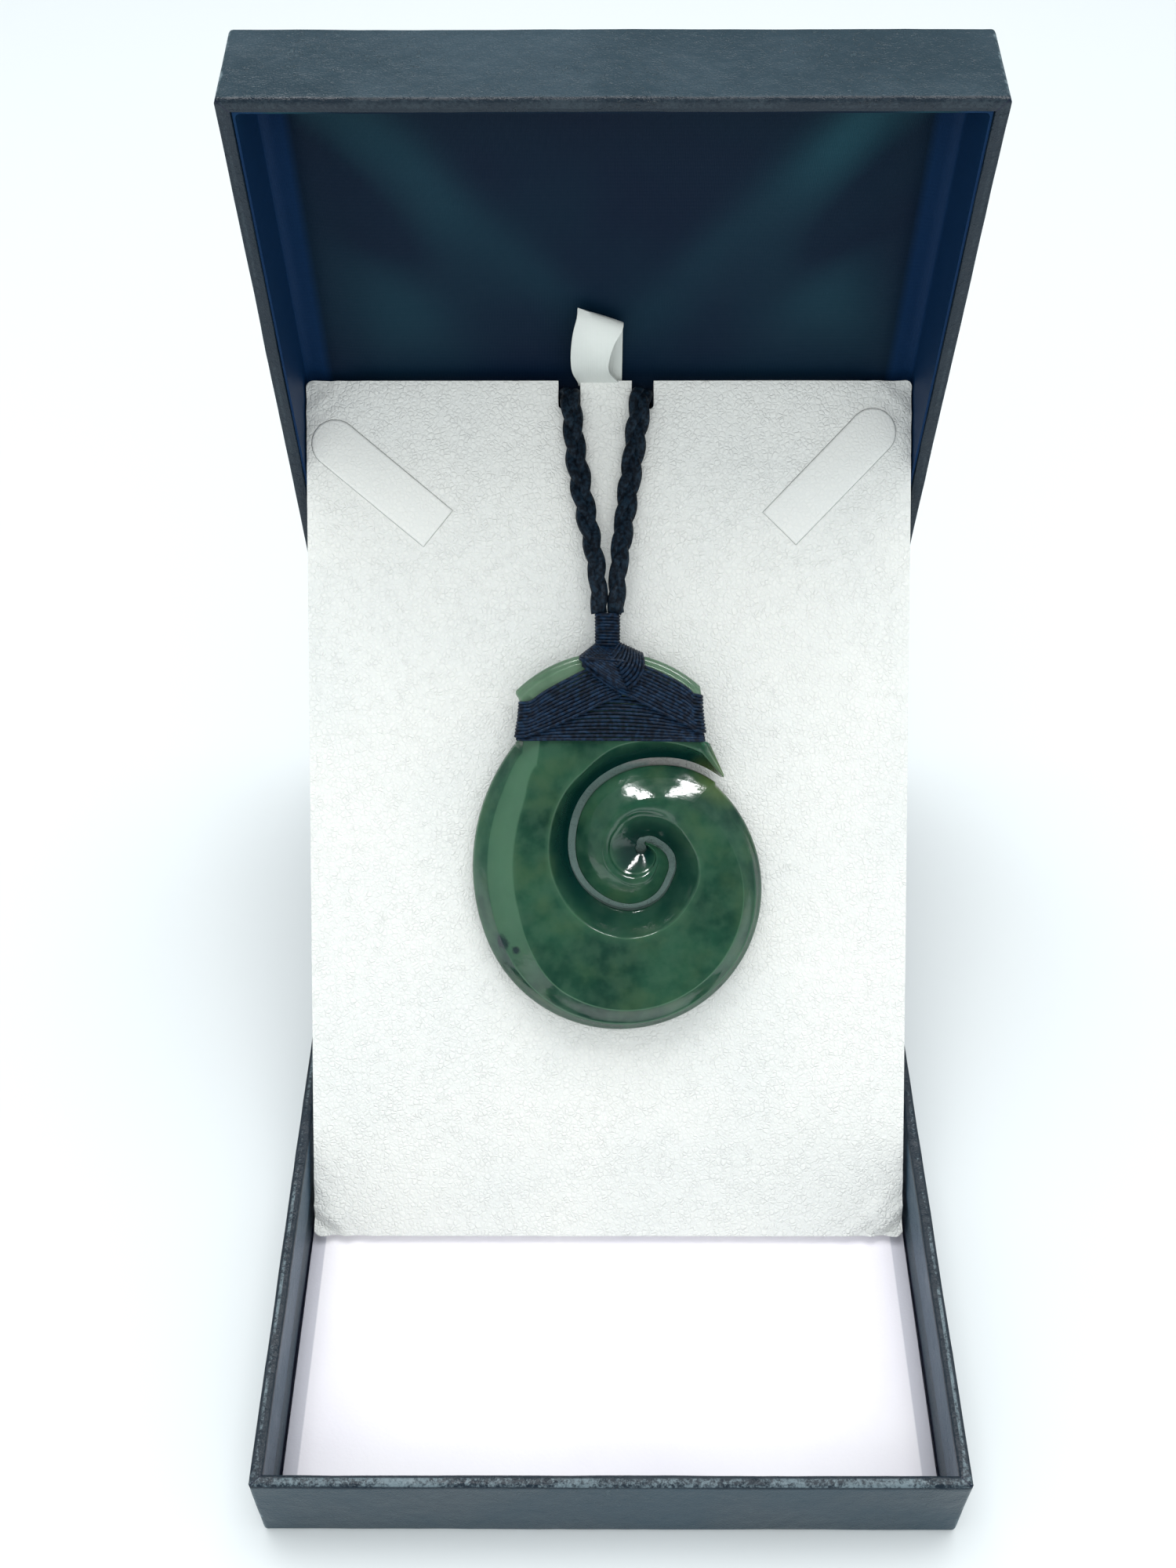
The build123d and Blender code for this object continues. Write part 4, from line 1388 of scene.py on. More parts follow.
@dataclass
class LidLining(Assembly):
    """Padded dark satin in the lid, with soft folds that run in from its corners."""

    cell: float = 1.6
    edge_roll: float = 0.75
    fold_height: float = 1.3
    swell: float = 0.25
    dark_side: float = 5.5

    def shine(self, x: float, y: float) -> float:
        """How much a place on the satin catches the light, 0 to 1.

        Args:
            x: Across the lid, from its middle.
            y: Along the lid, hinge side positive.

        Returns:
            The share.
        """
        from_side = self.layout.inner_width / 2 - abs(x)
        from_top = self.layout.inner_depth / 2 + y
        away = from_top - 1.2 * (from_side - 8)
        corner = bell(from_side, 26) + 0.35
        streak = bell(away, 7 if away < 0 else 11) * corner * math.exp(-((from_top / 62) ** 4))
        pool = bell(from_side - 19, 11) * bell(from_top - 47, 13)
        gap = bell(away - 20, 7) * bell(from_side - 12, 12)
        uneven = 0.8 + 0.6 * noise.noise(Vector((x / 15, y / 22, 7.0)))
        return clamp((0.75 * streak + 0.45 * pool - 0.5 * gap) * uneven)

    def folds(self, x: float, y: float) -> float:
        """Height of the satin's soft folds above its flat face.

        Args:
            x: Across the lid, from its middle.
            y: Along the lid, hinge side positive.

        Returns:
            The height.
        """
        from_side = self.layout.inner_width / 2 - abs(x)
        roll = self.edge_roll * bell(from_side - 6.5, 2.6)
        swell = self.swell * noise.noise(Vector((x / 22, y / 22, 3.0)))
        return roll + self.fold_height * self.shine(x, y) + swell

    def build(self) -> None:
        """Makes the panel and its thin walls as one soft tray."""
        size = self.layout
        wide = size.inner_width - 2 * size.lining_gap
        deep = size.inner_depth - 2 * size.lining_gap
        low = size.board + size.lining_gap
        high = size.height - size.lining_setback
        bm = bmesh.new()
        floor = low + size.lining_panel
        block(bm, (0, 0, (low + high) / 2), (wide, deep, high - low))
        hollow(bm, size.lining_wall, floor)

        def within(spot: Vector) -> bool:
            return abs(spot.x) < wide / 2 - 0.1 and abs(spot.y) < deep / 2 - 0.1

        foot = [
            e
            for e in bm.edges
            if both_ends(e, lambda p: same(p.z, floor)) or (both_ends(e, within) and e.calc_length() < 20)
        ]
        soften(bm, foot, 0.8, 4)
        inner = wide / 2 - size.lining_wall
        cut_grid(bm, 0, -inner + 2, inner - 2, self.cell)
        cut_grid(bm, 1, -deep / 2 + 3, deep / 2 - 3, self.cell)
        for vert in bm.verts:
            if abs(vert.co.z - floor) < 0.01:
                vert.co.z += self.folds(vert.co.x, vert.co.y) - self.swell
        bmesh.ops.recalc_face_normals(bm, faces=bm.faces)
        edge = size.inner_width / 2 - self.dark_side
        # The fold attribute is a painted sheen, laid where the satin catches the light.
        paint(bm, "fold", lambda spot: self.shine(spot.x, spot.y) if spot.z > floor - 1.2 else 0.0)
        paint(bm, "deep", lambda spot: 0.7 if abs(spot.x) > edge else 0.0)
        place, sharp = size.lid_place, math.radians(60)
        piece = self.piece(bm, "lid_satin_lining", "lid_lining", Slot.LID_SATIN, place, Body.LID, sharp)


def carve(body: Mesh, cutters: Sequence[Mesh]) -> Mesh:
    """Cuts shapes out of a body.

    Args:
        body: The mesh to cut, which is freed.
        cutters: Closed shapes, which are freed.

    Returns:
        The cut mesh.
    """
    made = [add_object("carving", to_mesh(bm, "carving")) for bm in (body, *cutters)]
    for cutter in made[1:]:
        step = made[0].modifiers.new("cut", "BOOLEAN")
        step.operation = "DIFFERENCE"
        step.solver = "EXACT"
        step.object = cutter
    bpy.context.view_layer.update()
    result = bpy.data.meshes.new_from_object(made[0].evaluated_get(bpy.context.evaluated_depsgraph_get()))
    bm = bmesh.new()
    bm.from_mesh(result)
    for item in made:
        mesh = item.data
        bpy.data.objects.remove(item)
        bpy.data.meshes.remove(mesh)
    bpy.data.meshes.remove(result)
    return bm


@dataclass
class DisplayPad(Assembly):
    """White pebbled pad that leans on the lid, with two notches and two cut tongues."""

    edge_round: float = 0.9
    corner_round: float = 1.2
    notch_width: float = 4.0
    notch_depth: float = 5.1
    notch_round: float = 0.8
    notches: Pair = (-7.2, 6.2)
    tongue_width: float = 8.6
    tongue_length: float = 28.6
    tongue_angles: Pair = (math.radians(180 - 39.5), math.radians(46.0))
    tongue_root_from_side: float = 24.0
    tongue_root_from_top: float = 26.8
    tongue_thickness: float = 1.2
    tongue_seat_gap: float = 0.08
    slit: float = 0.06
    slit_round: float = 0.22
    tongue_proud: float = 0.1
    tongue_lift: float = 0.3
    pucker: float = 0.3
    pucker_reach: float = 6.5
    pucker_pitch: float = 3.4
    corner_lump: float = 0.9
    cell: float = 1.3
    shade_under_stone: float = 23.0

    def tongue_place(self, side: int) -> Matrix:
        """Place of a tongue's root on the pad's face.

        Args:
            side: -1 left or 1 right.

        Returns:
            The place.
        """
        size = self.layout
        x = side * (size.pad_width / 2 - self.tongue_root_from_side)
        y = size.pad_height - self.tongue_root_from_top
        turn = self.tongue_angles[1 if side > 0 else 0]
        return Matrix.Translation((x, y, 0)) @ Matrix.Rotation(turn, 4, "Z")

    def tongue_prism(self, side: int, grow: float, low: float, high: float) -> Mesh:
        """A tongue's outline, square at its root and round at its free end, as an upright block.

        Args:
            side: -1 left or 1 right.
            grow: How much wider than the tongue.
            low: The block's lowest height out of the pad's face.
            high: Its highest height.

        Returns:
            The block.
        """
        bm = bmesh.new()
        half = self.tongue_width / 2
        straight = self.tongue_length - half
        centre = Matrix.Translation((straight, 0, low))
        bmesh.ops.create_circle(bm, cap_ends=True, segments=48, radius=half + grow, matrix=centre)
        for vert in bm.verts:
            if vert.co.x < straight - 1e-4:
                vert.co.x = -grow
        bmesh.ops.dissolve_limit(bm, angle_limit=math.radians(1), verts=bm.verts, edges=bm.edges)
        made = bmesh.ops.extrude_face_region(bm, geom=list(bm.faces))["geom"]
        lifted = [item for item in made if isinstance(item, bmesh.types.BMVert)]
        bmesh.ops.translate(bm, verts=lifted, vec=(0, 0, high - low))
        bmesh.ops.recalc_face_normals(bm, faces=bm.faces)
        bmesh.ops.transform(bm, matrix=self.tongue_place(side), verts=bm.verts)
        return bm

    def notch_block(self, x: float) -> Mesh:
        """The block that cuts one cord notch.

        Args:
            x: The notch's middle.

        Returns:
            The block.
        """
        size = self.layout
        bm = bmesh.new()
        spread = (self.notch_width, 2 * self.notch_depth, 2 * size.pad_thickness)
        block(bm, (x, size.pad_height, -size.pad_thickness / 2), spread)
        low = size.pad_height - self.notch_depth
        upright = [e for e in bm.edges if both_ends(e, lambda p: same(p.y, low)) and is_upright(e)]
        soften(bm, upright, self.notch_round, 5)
        return bm

    def board(self) -> Mesh:
        """The pad's rounded board before it is cut.

        Returns:
            The board.
        """
        size = self.layout
        bm = bmesh.new()
        centre = (0, size.pad_height / 2, -size.pad_thickness / 2)
        block(bm, centre, (size.pad_width, size.pad_height, size.pad_thickness))
        soften(bm, [e for e in bm.edges if is_upright(e)], self.corner_round, 5)
        return bm

    def sway(self, place: Vector) -> float:
        """How far the soft face swells or puckers out at a place.

        Args:
            place: The place.

        Returns:
            The height.
        """
        size = self.layout
        from_side = size.pad_width / 2 - abs(place.x)
        from_end = min(place.y, size.pad_height - place.y)
        reach = (from_side + from_end) / math.sqrt(2)
        drift = 1.2 * noise.noise(Vector((place.x / 5, place.y / 5, 4.0)))
        low = place.y < size.pad_height / 2
        strength = self.pucker * (2.2 if low else 1.3)
        height = strength * bell(reach, self.pucker_reach)
        height *= math.sin(math.tau * (reach + drift) / self.pucker_pitch) - 0.5
        if low:
            height += self.corner_lump * bell(from_side - 3.6, 2.6) * bell(from_end - 4.2, 2.4)
        return height + 0.12 * noise.noise(Vector((place.x / 14, place.y / 14, 1.0)))

    def build_board(self) -> None:
        """Makes the pad's board with its cut notches and tongue pockets."""
        size = self.layout
        depth = self.tongue_thickness - self.tongue_proud + self.tongue_seat_gap
        cutters = [self.notch_block(x) for x in self.notches]
        cutters += [self.tongue_prism(side, self.slit, -depth, 1.0) for side in (-1, 1)]
        bm = carve(self.board(), cutters)

        def front_edge(edge: Edge) -> bool:
            return both_ends(edge, lambda p: same(p.z, 0)) and edge.calc_face_angle(0.0) > math.radians(60)

        def on_border(edge: Edge) -> bool:
            middle = (edge.verts[0].co + edge.verts[1].co) / 2
            side = size.pad_width / 2 - abs(middle.x)
            return side < 1.3 or middle.y < 1.3 or middle.y > size.pad_height - self.notch_depth - 0.3

        bmesh.ops.remove_doubles(bm, verts=bm.verts, dist=1e-3)
        border = [e for e in bm.edges if front_edge(e)]
        outer = [e for e in border if on_border(e)]
        soften(bm, [e for e in border if not on_border(e)], self.slit_round, 3)
        soften(bm, [e for e in outer if e.is_valid], self.edge_round, 4)
        bmesh.ops.triangulate(bm, faces=[f for f in bm.faces if len(f.verts) > 4])
        cut_grid(bm, 0, -size.pad_width / 2 + 2, size.pad_width / 2 - 2, self.cell)
        cut_grid(bm, 1, 2, size.pad_height - 2, self.cell)
        for vert in bm.verts:
            if vert.co.z > -size.pad_thickness + 0.2:
                share = 1 + vert.co.z / size.pad_thickness
                vert.co.z += self.sway(vert.co) * max(share, 0.0)
        bmesh.ops.recalc_face_normals(bm, faces=bm.faces)
        stone = Vector((size.stone_x, size.stone_y))

        # Painted shade: the pad under the stone and the walls of the tongue pockets are darkened.
        def hidden(spot: Vector) -> float:
            if (spot.xy - stone).length < self.shade_under_stone:
                return 0.75
            inside = 3 < spot.y < size.pad_height - 8 and abs(spot.x) < size.pad_width / 2 - 2
            return 0.6 if inside and -1.4 < spot.z < -0.75 else 0.0

        paint(bm, "deep", hidden)
        place, slot = size.pad_place, Slot.PAD_LEATHERETTE
        piece = self.piece(bm, "pad_board", "display_pad", slot, place, sharp=math.radians(55))

    def build_tongue(self, side: int) -> None:
        """Makes one tongue, lying in its cut.

        Args:
            side: -1 left or 1 right.
        """
        top = self.tongue_proud + self.tongue_lift
        bm = self.tongue_prism(side, 0.0, self.tongue_proud - self.tongue_thickness, top)
        soften(bm, [e for e in bm.edges if both_ends(e, lambda p: same(p.z, top))], 0.45, 4)
        paint(bm, "smooth", lambda spot: 0.6)
        name, place = f"tongue_{side_name(side)}", self.layout.pad_place
        self.piece(bm, name, f"pad_{name}", Slot.PAD_LEATHERETTE, place, sharp=math.radians(50))

    def build(self) -> None:
        """Makes the pad and its tongues."""
        self.build_board()
        for side in (-1, 1):
            self.build_tongue(side)


@dataclass
class RibbonLoop(Assembly):
    """White satin ribbon that stands up behind the pad's top edge and folds forward."""

    width: float = 8.0
    height: float = 16.5
    centre_x: float = -1.6
    back_foot: float = 2.4
    front_foot: float = 1.0
    bulge: float = 3.8
    thickness: float = 0.4
    tilt: float = 0.105
    columns: int = 10
    steps: int = 44
    rows: tuple = (
        (0.10, 0.00), (0.45, 0.00), (0.80, 0.02), (0.95, 0.10), (1.00, 0.32), (0.95, 0.62), (0.83, 0.87),
        (0.62, 1.00), (0.42, 0.93), (0.27, 0.66), (0.15, 0.36),
    )

    def profile(self, x: float) -> list[Vector]:
        """Middle line of the strip at a place across it.

        Args:
            x: Place across the ribbon, from its middle.

        Returns:
            Points from its back foot over the fold to its front foot.
        """
        size = self.layout
        up = Vector((0, -math.cos(size.lid_open), math.sin(size.lid_open)))
        out = Vector((0, -math.sin(size.lid_open), -math.cos(size.lid_open)))
        start = size.pad_place @ Vector((0, size.pad_height - 0.5, -self.back_foot))
        end = size.pad_place @ Vector((0, size.pad_height - 0.5, -self.front_foot))
        across = x / self.width
        points = [start]
        for rise, forward in self.rows:
            lift = rise * self.height * (1 - 2 * self.tilt * across * min(rise, 1.0) ** 2)
            points.append(start + up * (lift + 0.5) + out * (forward * self.bulge))
        points.append(end)
        moved = []
        left, right = 0.5 - across, 0.5 + across
        for number, point in enumerate(points):
            share = clamp((number - 6) / (len(points) - 7))
            swing = math.sin(math.pi * share)
            drift = left * (0.2 * share - 1.9 * swing * (1 - 0.6 * share)) - right * 2.6 * swing
            moved.append(point + Vector((x + drift + self.centre_x, 0, 0)) + up * (0.2 * right * swing))
        return moved

    def build(self) -> None:
        """Makes the strip from a grid bent to its line."""
        lines = []
        for column in range(self.columns + 1):
            x = self.width * (column / self.columns - 0.5)
            lines.append(even_points(curve_points(self.profile(x), 12), 0.2))
        bm = bmesh.new()
        bmesh.ops.create_grid(bm, x_segments=self.columns, y_segments=self.steps, size=0.5)
        for vert in bm.verts:
            line = lines[round((vert.co.x + 0.5) * self.columns)]
            spot = (vert.co.y + 0.5) * (len(line) - 1)
            low = min(int(spot), len(line) - 2)
            vert.co = line[low].lerp(line[low + 1], spot - low)
        bmesh.ops.recalc_face_normals(bm, faces=bm.faces)
        bmesh.ops.solidify(bm, geom=list(bm.faces), thickness=self.thickness * 0.6)
        self.piece(bm, "ribbon_pull", "ribbon_loop", Slot.RIBBON_SATIN, FRAME, sharp=math.radians(60))
        LOG.info("ribbon: %.1f by %.1f mm flat", self.width, line_length(lines[self.columns // 2]))


@dataclass
class KoruStone(Assembly):
    """The carved stone: one band with a groove and ridge that winds into its spiral."""

    radius: float = 26.1
    thickness: float = 8.4
    flank_offset: float = 10.7
    flank_direction: float = 23.0
    flank_top: float = 26.8
    waist_flare: float = 1.5
    cap_left: Pair = (-18.8, 36.5)
    cap_right: Pair = (14.4, 37.4)
    cap_top: Pair = (-2.2, 43.5)
    tip: Pair = (18.9, 21.3)
    shoulder: Pair = (16.4, 26.8)
    back_bevel: float = 1.3
    centre: Pair = (3.9, 7.8)
    reach: float = 18.75
    slot: float = 1.35
    slot_wall: float = 3.4
    pit: float = 1.0
    groove: float = 4.4
    bevel: float = 5.0
    mouth_turn: float = 2.6
    step: float = 1.5
    last: float = 770.0
    spiral: tuple = (
        (36, 1.030), (43, 1.000), (63, 0.927), (79, 0.867), (100, 0.811), (131, 0.752), (172, 0.680),
        (198, 0.665), (229, 0.630), (259, 0.592), (285, 0.517), (312, 0.408), (328, 0.363), (344, 0.305),
        (362, 0.226), (378, 0.172), (400, 0.127), (425, 0.083), (455, 0.050), (500, 0.000),
    )
    relief: tuple = (
        (39, 0.25, 0.74, 0.74, 0.72, 0.20, 0.50), (50, 0.45, 0.82, 0.83, 0.80, 0.30, 0.50),
        (62, 0.60, 0.88, 0.90, 0.88, 0.34, 0.56), (101, 0.84, 0.90, 0.91, 0.86, 0.30, 0.60),
        (128, 0.66, 0.92, 0.91, 0.88, 0.34, 0.60), (131, 0.68, 0.93, 0.92, 0.91, 1.36, 0.43),
        (136, 0.70, 0.93, 0.92, 0.91, 1.24, 0.42), (142, 0.72, 0.94, 0.93, 0.92, 1.08, 0.41),
        (157, 0.76, 0.94, 0.95, 0.95, 1.38, 0.40), (176, 0.79, 0.94, 0.95, 0.95, 1.50, 0.39),
        (205, 0.84, 0.94, 0.95, 0.95, 1.56, 0.38), (218, 0.90, 0.94, 0.93, 0.95, 1.46, 0.37),
        (241, 1.00, 0.94, 0.89, 0.95, 1.10, 0.35), (281, 1.00, 0.94, 0.87, 0.95, 0.90, 0.34),
        (330, 1.00, 0.94, 0.93, 0.94, 0.80, 0.38), (367, 1.00, 0.93, 0.96, 0.96, 0.90, 0.44),
        (388, 1.05, 0.92, 0.97, 0.97, 1.00, 0.46), (426, 1.04, 0.88, 1.00, 0.97, 1.15, 0.50),
        (479, 1.06, 0.84, 0.97, 0.94, 1.10, 0.50), (520, 1.08, 0.80, 0.92, 0.90, 1.00, 0.48),
        (575, 0.98, 0.75, 0.86, 0.83, 0.90, 0.48), (650, 0.64, 0.66, 0.74, 0.70, 0.60, 0.46),
        (700, 0.40, 0.60, 0.64, 0.60, 0.40, 0.44), (770, 0.10, 0.50, 0.52, 0.52, 0.16, 0.44),
    )
    # Colour table by angle: share of the bevel's painted sheen, depth of the groove's painted shade, painted sheen of
    # the fine facet lines.
    colour: tuple = (
        (36, 0.0, 1.0, 0.0), (100, 0.2, 1.0, 0.2), (130, 0.8, 1.0, 0.5), (145, 1.0, 1.0, 0.6),
        (205, 1.0, 0.95, 0.7), (235, 0.15, 0.7, 1.0), (270, 0.05, 0.5, 1.0), (320, 0.1, 0.65, 0.9),
        (380, 0.0, 0.85, 0.0), (450, 0.0, 0.9, 0.0), (770, 0.0, 1.0, 0.0),
    )
    coil_start: float = 335.0
    coil_full: float = 400.0
    arch_share: float = 0.85
    arch_crest: float = 0.24
    cap_low: float = 34.6
    # Shares of painted sheen down the bevel, for the outer rim and for the coil.
    outer_sheen: tuple = (1.0, 0.8, 0.1, 0.3, 0.4, 0.4)
    inner_sheen: tuple = (0.2, 0.1, 0.0, 0.0, 0.3, 0.5)
    crest_fall: float = 0.16
    olive_reach: float = 7.0

    @staticmethod
    def smooth(rows: Sequence[Sequence[float]], column: int, angle: float) -> float:
        """Value of a table's column at an angle, on a curve that never overshoots.

        Args:
            rows: The table, first column the angle.
            column: Which column.
            angle: The angle in degrees.

        Returns:
            The value.
        """
        if angle <= rows[0][0]:
            return rows[0][column]
        if angle >= rows[-1][0]:
            return rows[-1][column]
        slopes = [(b[column] - a[column]) / (b[0] - a[0]) for a, b in zip(rows, rows[1:])]
        tangents = [slopes[0]]
        for left, right in zip(slopes, slopes[1:]):
            tangents.append(0.0 if left * right <= 0 else 2 * left * right / (left + right))
        tangents.append(slopes[-1])
        n = max(k for k in range(len(rows) - 1) if rows[k][0] <= angle)
        span = rows[n + 1][0] - rows[n][0]
        t = (angle - rows[n][0]) / span
        start = rows[n][column] * (1 + 2 * t) * (1 - t) ** 2 + tangents[n] * span * t * (1 - t) ** 2
        end = rows[n + 1][column] * t * t * (3 - 2 * t) + tangents[n + 1] * span * t * t * (t - 1)
        return start + end

    def arc(self, centre: Pair, radius: float, start: float, end: float, count: int) -> list:
        """Points along an arc, angles in degrees.

        Args:
            centre: The arc's centre.
            radius: Its radius.
            start: Where it starts.
            end: Where it ends.
            count: How many steps it has.

        Returns:
            The points.
        """
        found = []
        for number in range(count + 1):
            angle = math.radians(start + (end - start) * number / count)
            found.append((centre[0] + radius * math.cos(angle), centre[1] + radius * math.sin(angle)))
        return found

    def cap_arc(self, count: int) -> list:
        """Points along the arc of the stone's top, from its right corner to its left one.

        Args:
            count: How many steps it has.

        Returns:
            The points.
        """
        (ax, ay), (bx, by), (cx, cy) = self.cap_right, self.cap_top, self.cap_left
        a2, b2, c2 = ax**2 + ay**2, bx**2 + by**2, cx**2 + cy**2
        d = 2 * (ax * (by - cy) + bx * (cy - ay) + cx * (ay - by))
        ux = (a2 * (by - cy) + b2 * (cy - ay) + c2 * (ay - by)) / d
        uy = (a2 * (cx - bx) + b2 * (ax - cx) + c2 * (bx - ax)) / d
        radius = math.hypot(ax - ux, ay - uy)
        start = math.degrees(math.atan2(ay - uy, ax - ux))
        end = math.degrees(math.atan2(cy - uy, cx - ux))
        return self.arc((ux, uy), radius, start, end, count)

    def outline(self) -> list:
        """Outline from the tip round the cap, flank and body to the slot's mouth, anticlockwise.

        Returns:
            The points.
        """
        turn = math.radians(self.flank_direction)
        flank_centre = (self.flank_offset * math.cos(turn), self.flank_offset * math.sin(turn))
        flank_radius = self.radius + self.flank_offset
        start = math.degrees(math.pi - math.asin((self.flank_top - flank_centre[1]) / flank_radius))
        mouth = math.degrees(math.atan2(self.tip[1], self.tip[0])) + self.mouth_turn
        points = [self.tip, self.shoulder]
        points += self.cap_arc(24)
        points += self.arc(flank_centre, flank_radius, start, 180 + self.flank_direction, 30)
        points += self.arc((0, 0), self.radius, 180 + self.flank_direction, 360 + mouth, 110)[1:]
        return points

    def polar(self) -> list[Pair]:
        """The outline as rising angles about the spiral's centre, with the reach at each.

        Returns:
            Pairs of angle and reach.
        """
        rows = []
        for x, y in self.outline():
            angle = math.degrees(math.atan2(y - self.centre[1], x - self.centre[0]))
            if rows and angle < rows[-1][0]:
                angle += 360
            rows.append((angle, math.hypot(x - self.centre[0], y - self.centre[1])))
        return rows

    def outer_reach(self, rows: Sequence[Pair], angle: float) -> float:
        """Distance from the spiral's centre to the outline at an angle.

        Args:
            rows: The outline by angle.
            angle: The angle in degrees.

        Returns:
            The distance.
        """
        for (a0, r0), (a1, r1) in zip(rows, rows[1:]):
            if a0 <= angle <= a1:
                turn, part = math.radians(a1 - a0), math.radians(angle - a0)
                return r0 * r1 * math.sin(turn) / (r1 * math.sin(turn - part) + r0 * math.sin(part))
        return rows[-1][1]

    def slot_edge(self, angle: float, side: int) -> float:
        """Reach of the slot's outer or inner edge, square to its middle line.

        Args:
            angle: The angle in degrees.
            side: 1 for the outer edge, -1 for the inner.

        Returns:
            The reach.
        """
        reach = self.reach * self.smooth(self.spiral, 1, angle)
        ahead = self.reach * self.smooth(self.spiral, 1, angle + 1)
        slope = (ahead - reach) / math.radians(1) / max(reach, self.pit)
        return reach + side * self.slot / 2 * math.sqrt(1 + min(slope, 0.0) ** 2)

    def section(self, rows: Sequence[Pair], angle: float, first: float) -> list[tuple]:
        """One upright section of the band, finely divided.

        Args:
            rows: The outline about the spiral's centre.
            angle: The section's angle in degrees.
            first: The angle at which the band starts.

        Returns:
            For each point its distance from the centre, its height, how deep in the groove it is, which sets its
            painted shade, and its share of painted sheen (how pale), where 2 stands for a fine line whose painted
            sheen the colour table sets.
        """
        inner = max(self.pit, self.slot_edge(angle, 1))
        outside = angle < 360 + first
        outer = self.outer_reach(rows, angle) if outside else self.slot_edge(angle - 360, -1)
        outer = max(outer, inner + 0.5)
        width = outer - inner
        groove = self.groove * self.smooth(self.relief, 1, angle)
        bevel = self.bevel * self.smooth(self.relief, 5, angle)
        fit = min(1.0, 0.86 * width / (groove + bevel))
        groove, bevel = groove * fit, bevel * fit
        ridge, face, crest, edge = (
            self.thickness * self.smooth(self.relief, column, angle) for column in (2, 3, 4, 6)
        )
        wall = min(self.slot_wall, 0.9 * ridge)
        under = min(self.back_bevel, 0.3 * width)
        lip = 0.18 * min(1.0, width / 6)
        points = [(inner, 0.0, 1.0, 0.0), (inner, 0.5 * wall, 1.0, 0.0), (inner, wall - lip, 1.0, 0.0)]
        points += [(inner + 0.3 * lip, wall - 0.3 * lip, 1.0, 0.0), (inner + lip, wall, 1.0, 0.0)]
        for number in range(1, 9):
            t = number / 9
            h = wall + (ridge - wall) * (0.9 * t + 0.1 * t * t)
            points.append((inner + lip + (groove - lip) * t, h, max(0.0, 1.0 - t**2.5), 0.0))
        flat_start, flat_end = inner + groove, outer - bevel
        near = min(0.16, 0.1 * groove)
        points += [(flat_start - near, ridge - 0.6 * near, 0.1, 0.4)]
        points += [(flat_start, ridge - 0.12 * near, 0.0, 0.9), (flat_start + near, ridge, 0.0, 0.5)]
        for number in range(1, 8):
            t = number / 8
            h = ridge * (1 - t) + crest * t + (face - (ridge + crest) / 2) * 4 * t * (1 - t)
            points.append((flat_start + (flat_end - flat_start) * t, h, 0.0, 0.0))
        nick = min(0.2, 0.08 * bevel)
        second_d, second_h = outer - 0.4 * bevel, edge + 0.62 * (crest - edge)
        points += [(flat_end - nick, crest, 0.0, 0.2), (flat_end, crest - 0.1 * nick, 0.0, 2.0)]
        points += [(flat_end + nick, crest - 0.6 * nick, 0.0, 1.0)]
        mid, before, tail, bend, side, foot = self.outer_sheen if outside else self.inner_sheen
        points += [((flat_end + second_d) / 2, (crest + second_h) / 2, 0.0, mid)]
        points += [(second_d - nick, second_h + 0.3 * nick, 0.0, before)]
        points += [(second_d, second_h, 0.0, 2.0), (second_d + nick, second_h - 0.4 * nick, 0.0, 0.0)]
        turn = min(0.9, 0.35 * bevel, 0.4 * edge) if outside else min(0.5, 0.3 * bevel)
        tail_d, low = outer - turn, min(self.back_bevel, 0.8 * (edge - turn))
        points += [(tail_d, edge + 0.45 * turn, 0.0, tail), (outer - 0.5 * turn, edge + 0.12 * turn, 0.0, bend)]
        points += [(outer - 0.12 * turn, edge - 0.35 * turn, 0.0, side), (outer, edge - turn, 0.0, foot)]
        points += [(outer, low, 0.0, 0.3), (outer - 0.3 * under, 0.3 * low, 0.0, 0.2)]
        points += [(outer - under, 0.0, 0.0, 0.0), ((outer - under + inner) / 2, 0.0, 0.0, 0.0)]
        light, deep, line = (self.smooth(self.colour, column, angle) for column in (1, 2, 3))
        sheen_shares = [line if p > 1 else p * (light if d > flat_start + 1 else 0.6) for d, h, g, p in points]
        points = [(d, h, g * deep, shade) for (d, h, g, p), shade in zip(points, sheen_shares)]
        return self.arch(points, angle, flat_start, tail_d, self.thickness * self.smooth(self.relief, 3, angle))

    def stations(self, rows: Sequence[Pair]) -> list[float]:
        """Angles of the sections, close together where the outline turns sharply.

        Args:
            rows: The outline by angle.

        Returns:
            The angles, rising.
        """
        corners = [angle for angle, _ in rows if angle < 150]
        found = sorted(set(corners + [rows[0][0] + 1.5, rows[0][0] + 3]))
        angle = rows[0][0] + 4.5
        while angle < self.last:
            found.append(angle)
            angle += self.step
        found.append(self.last)
        kept = []
        for angle in sorted(found):
            if not kept or angle - kept[-1] > 0.25 or angle in corners:
                kept.append(angle)
        return kept

    def to_waist(self, point: Vector) -> Vector:
        """Draws a point in where the thread lies in a step round the waist.

        Args:
            point: The point.

        Returns:
            The point, or the one further in.
        """
        size = self.layout
        if not size.waist_low <= point.y <= size.waist_high + self.waist_flare:
            return point
        half = size.waist_half(point.y) + max(0.0, point.y - size.waist_high)
        x = max(-half, min(half, point.x - size.waist_x)) + size.waist_x
        return Vector((x, point.y, point.z))

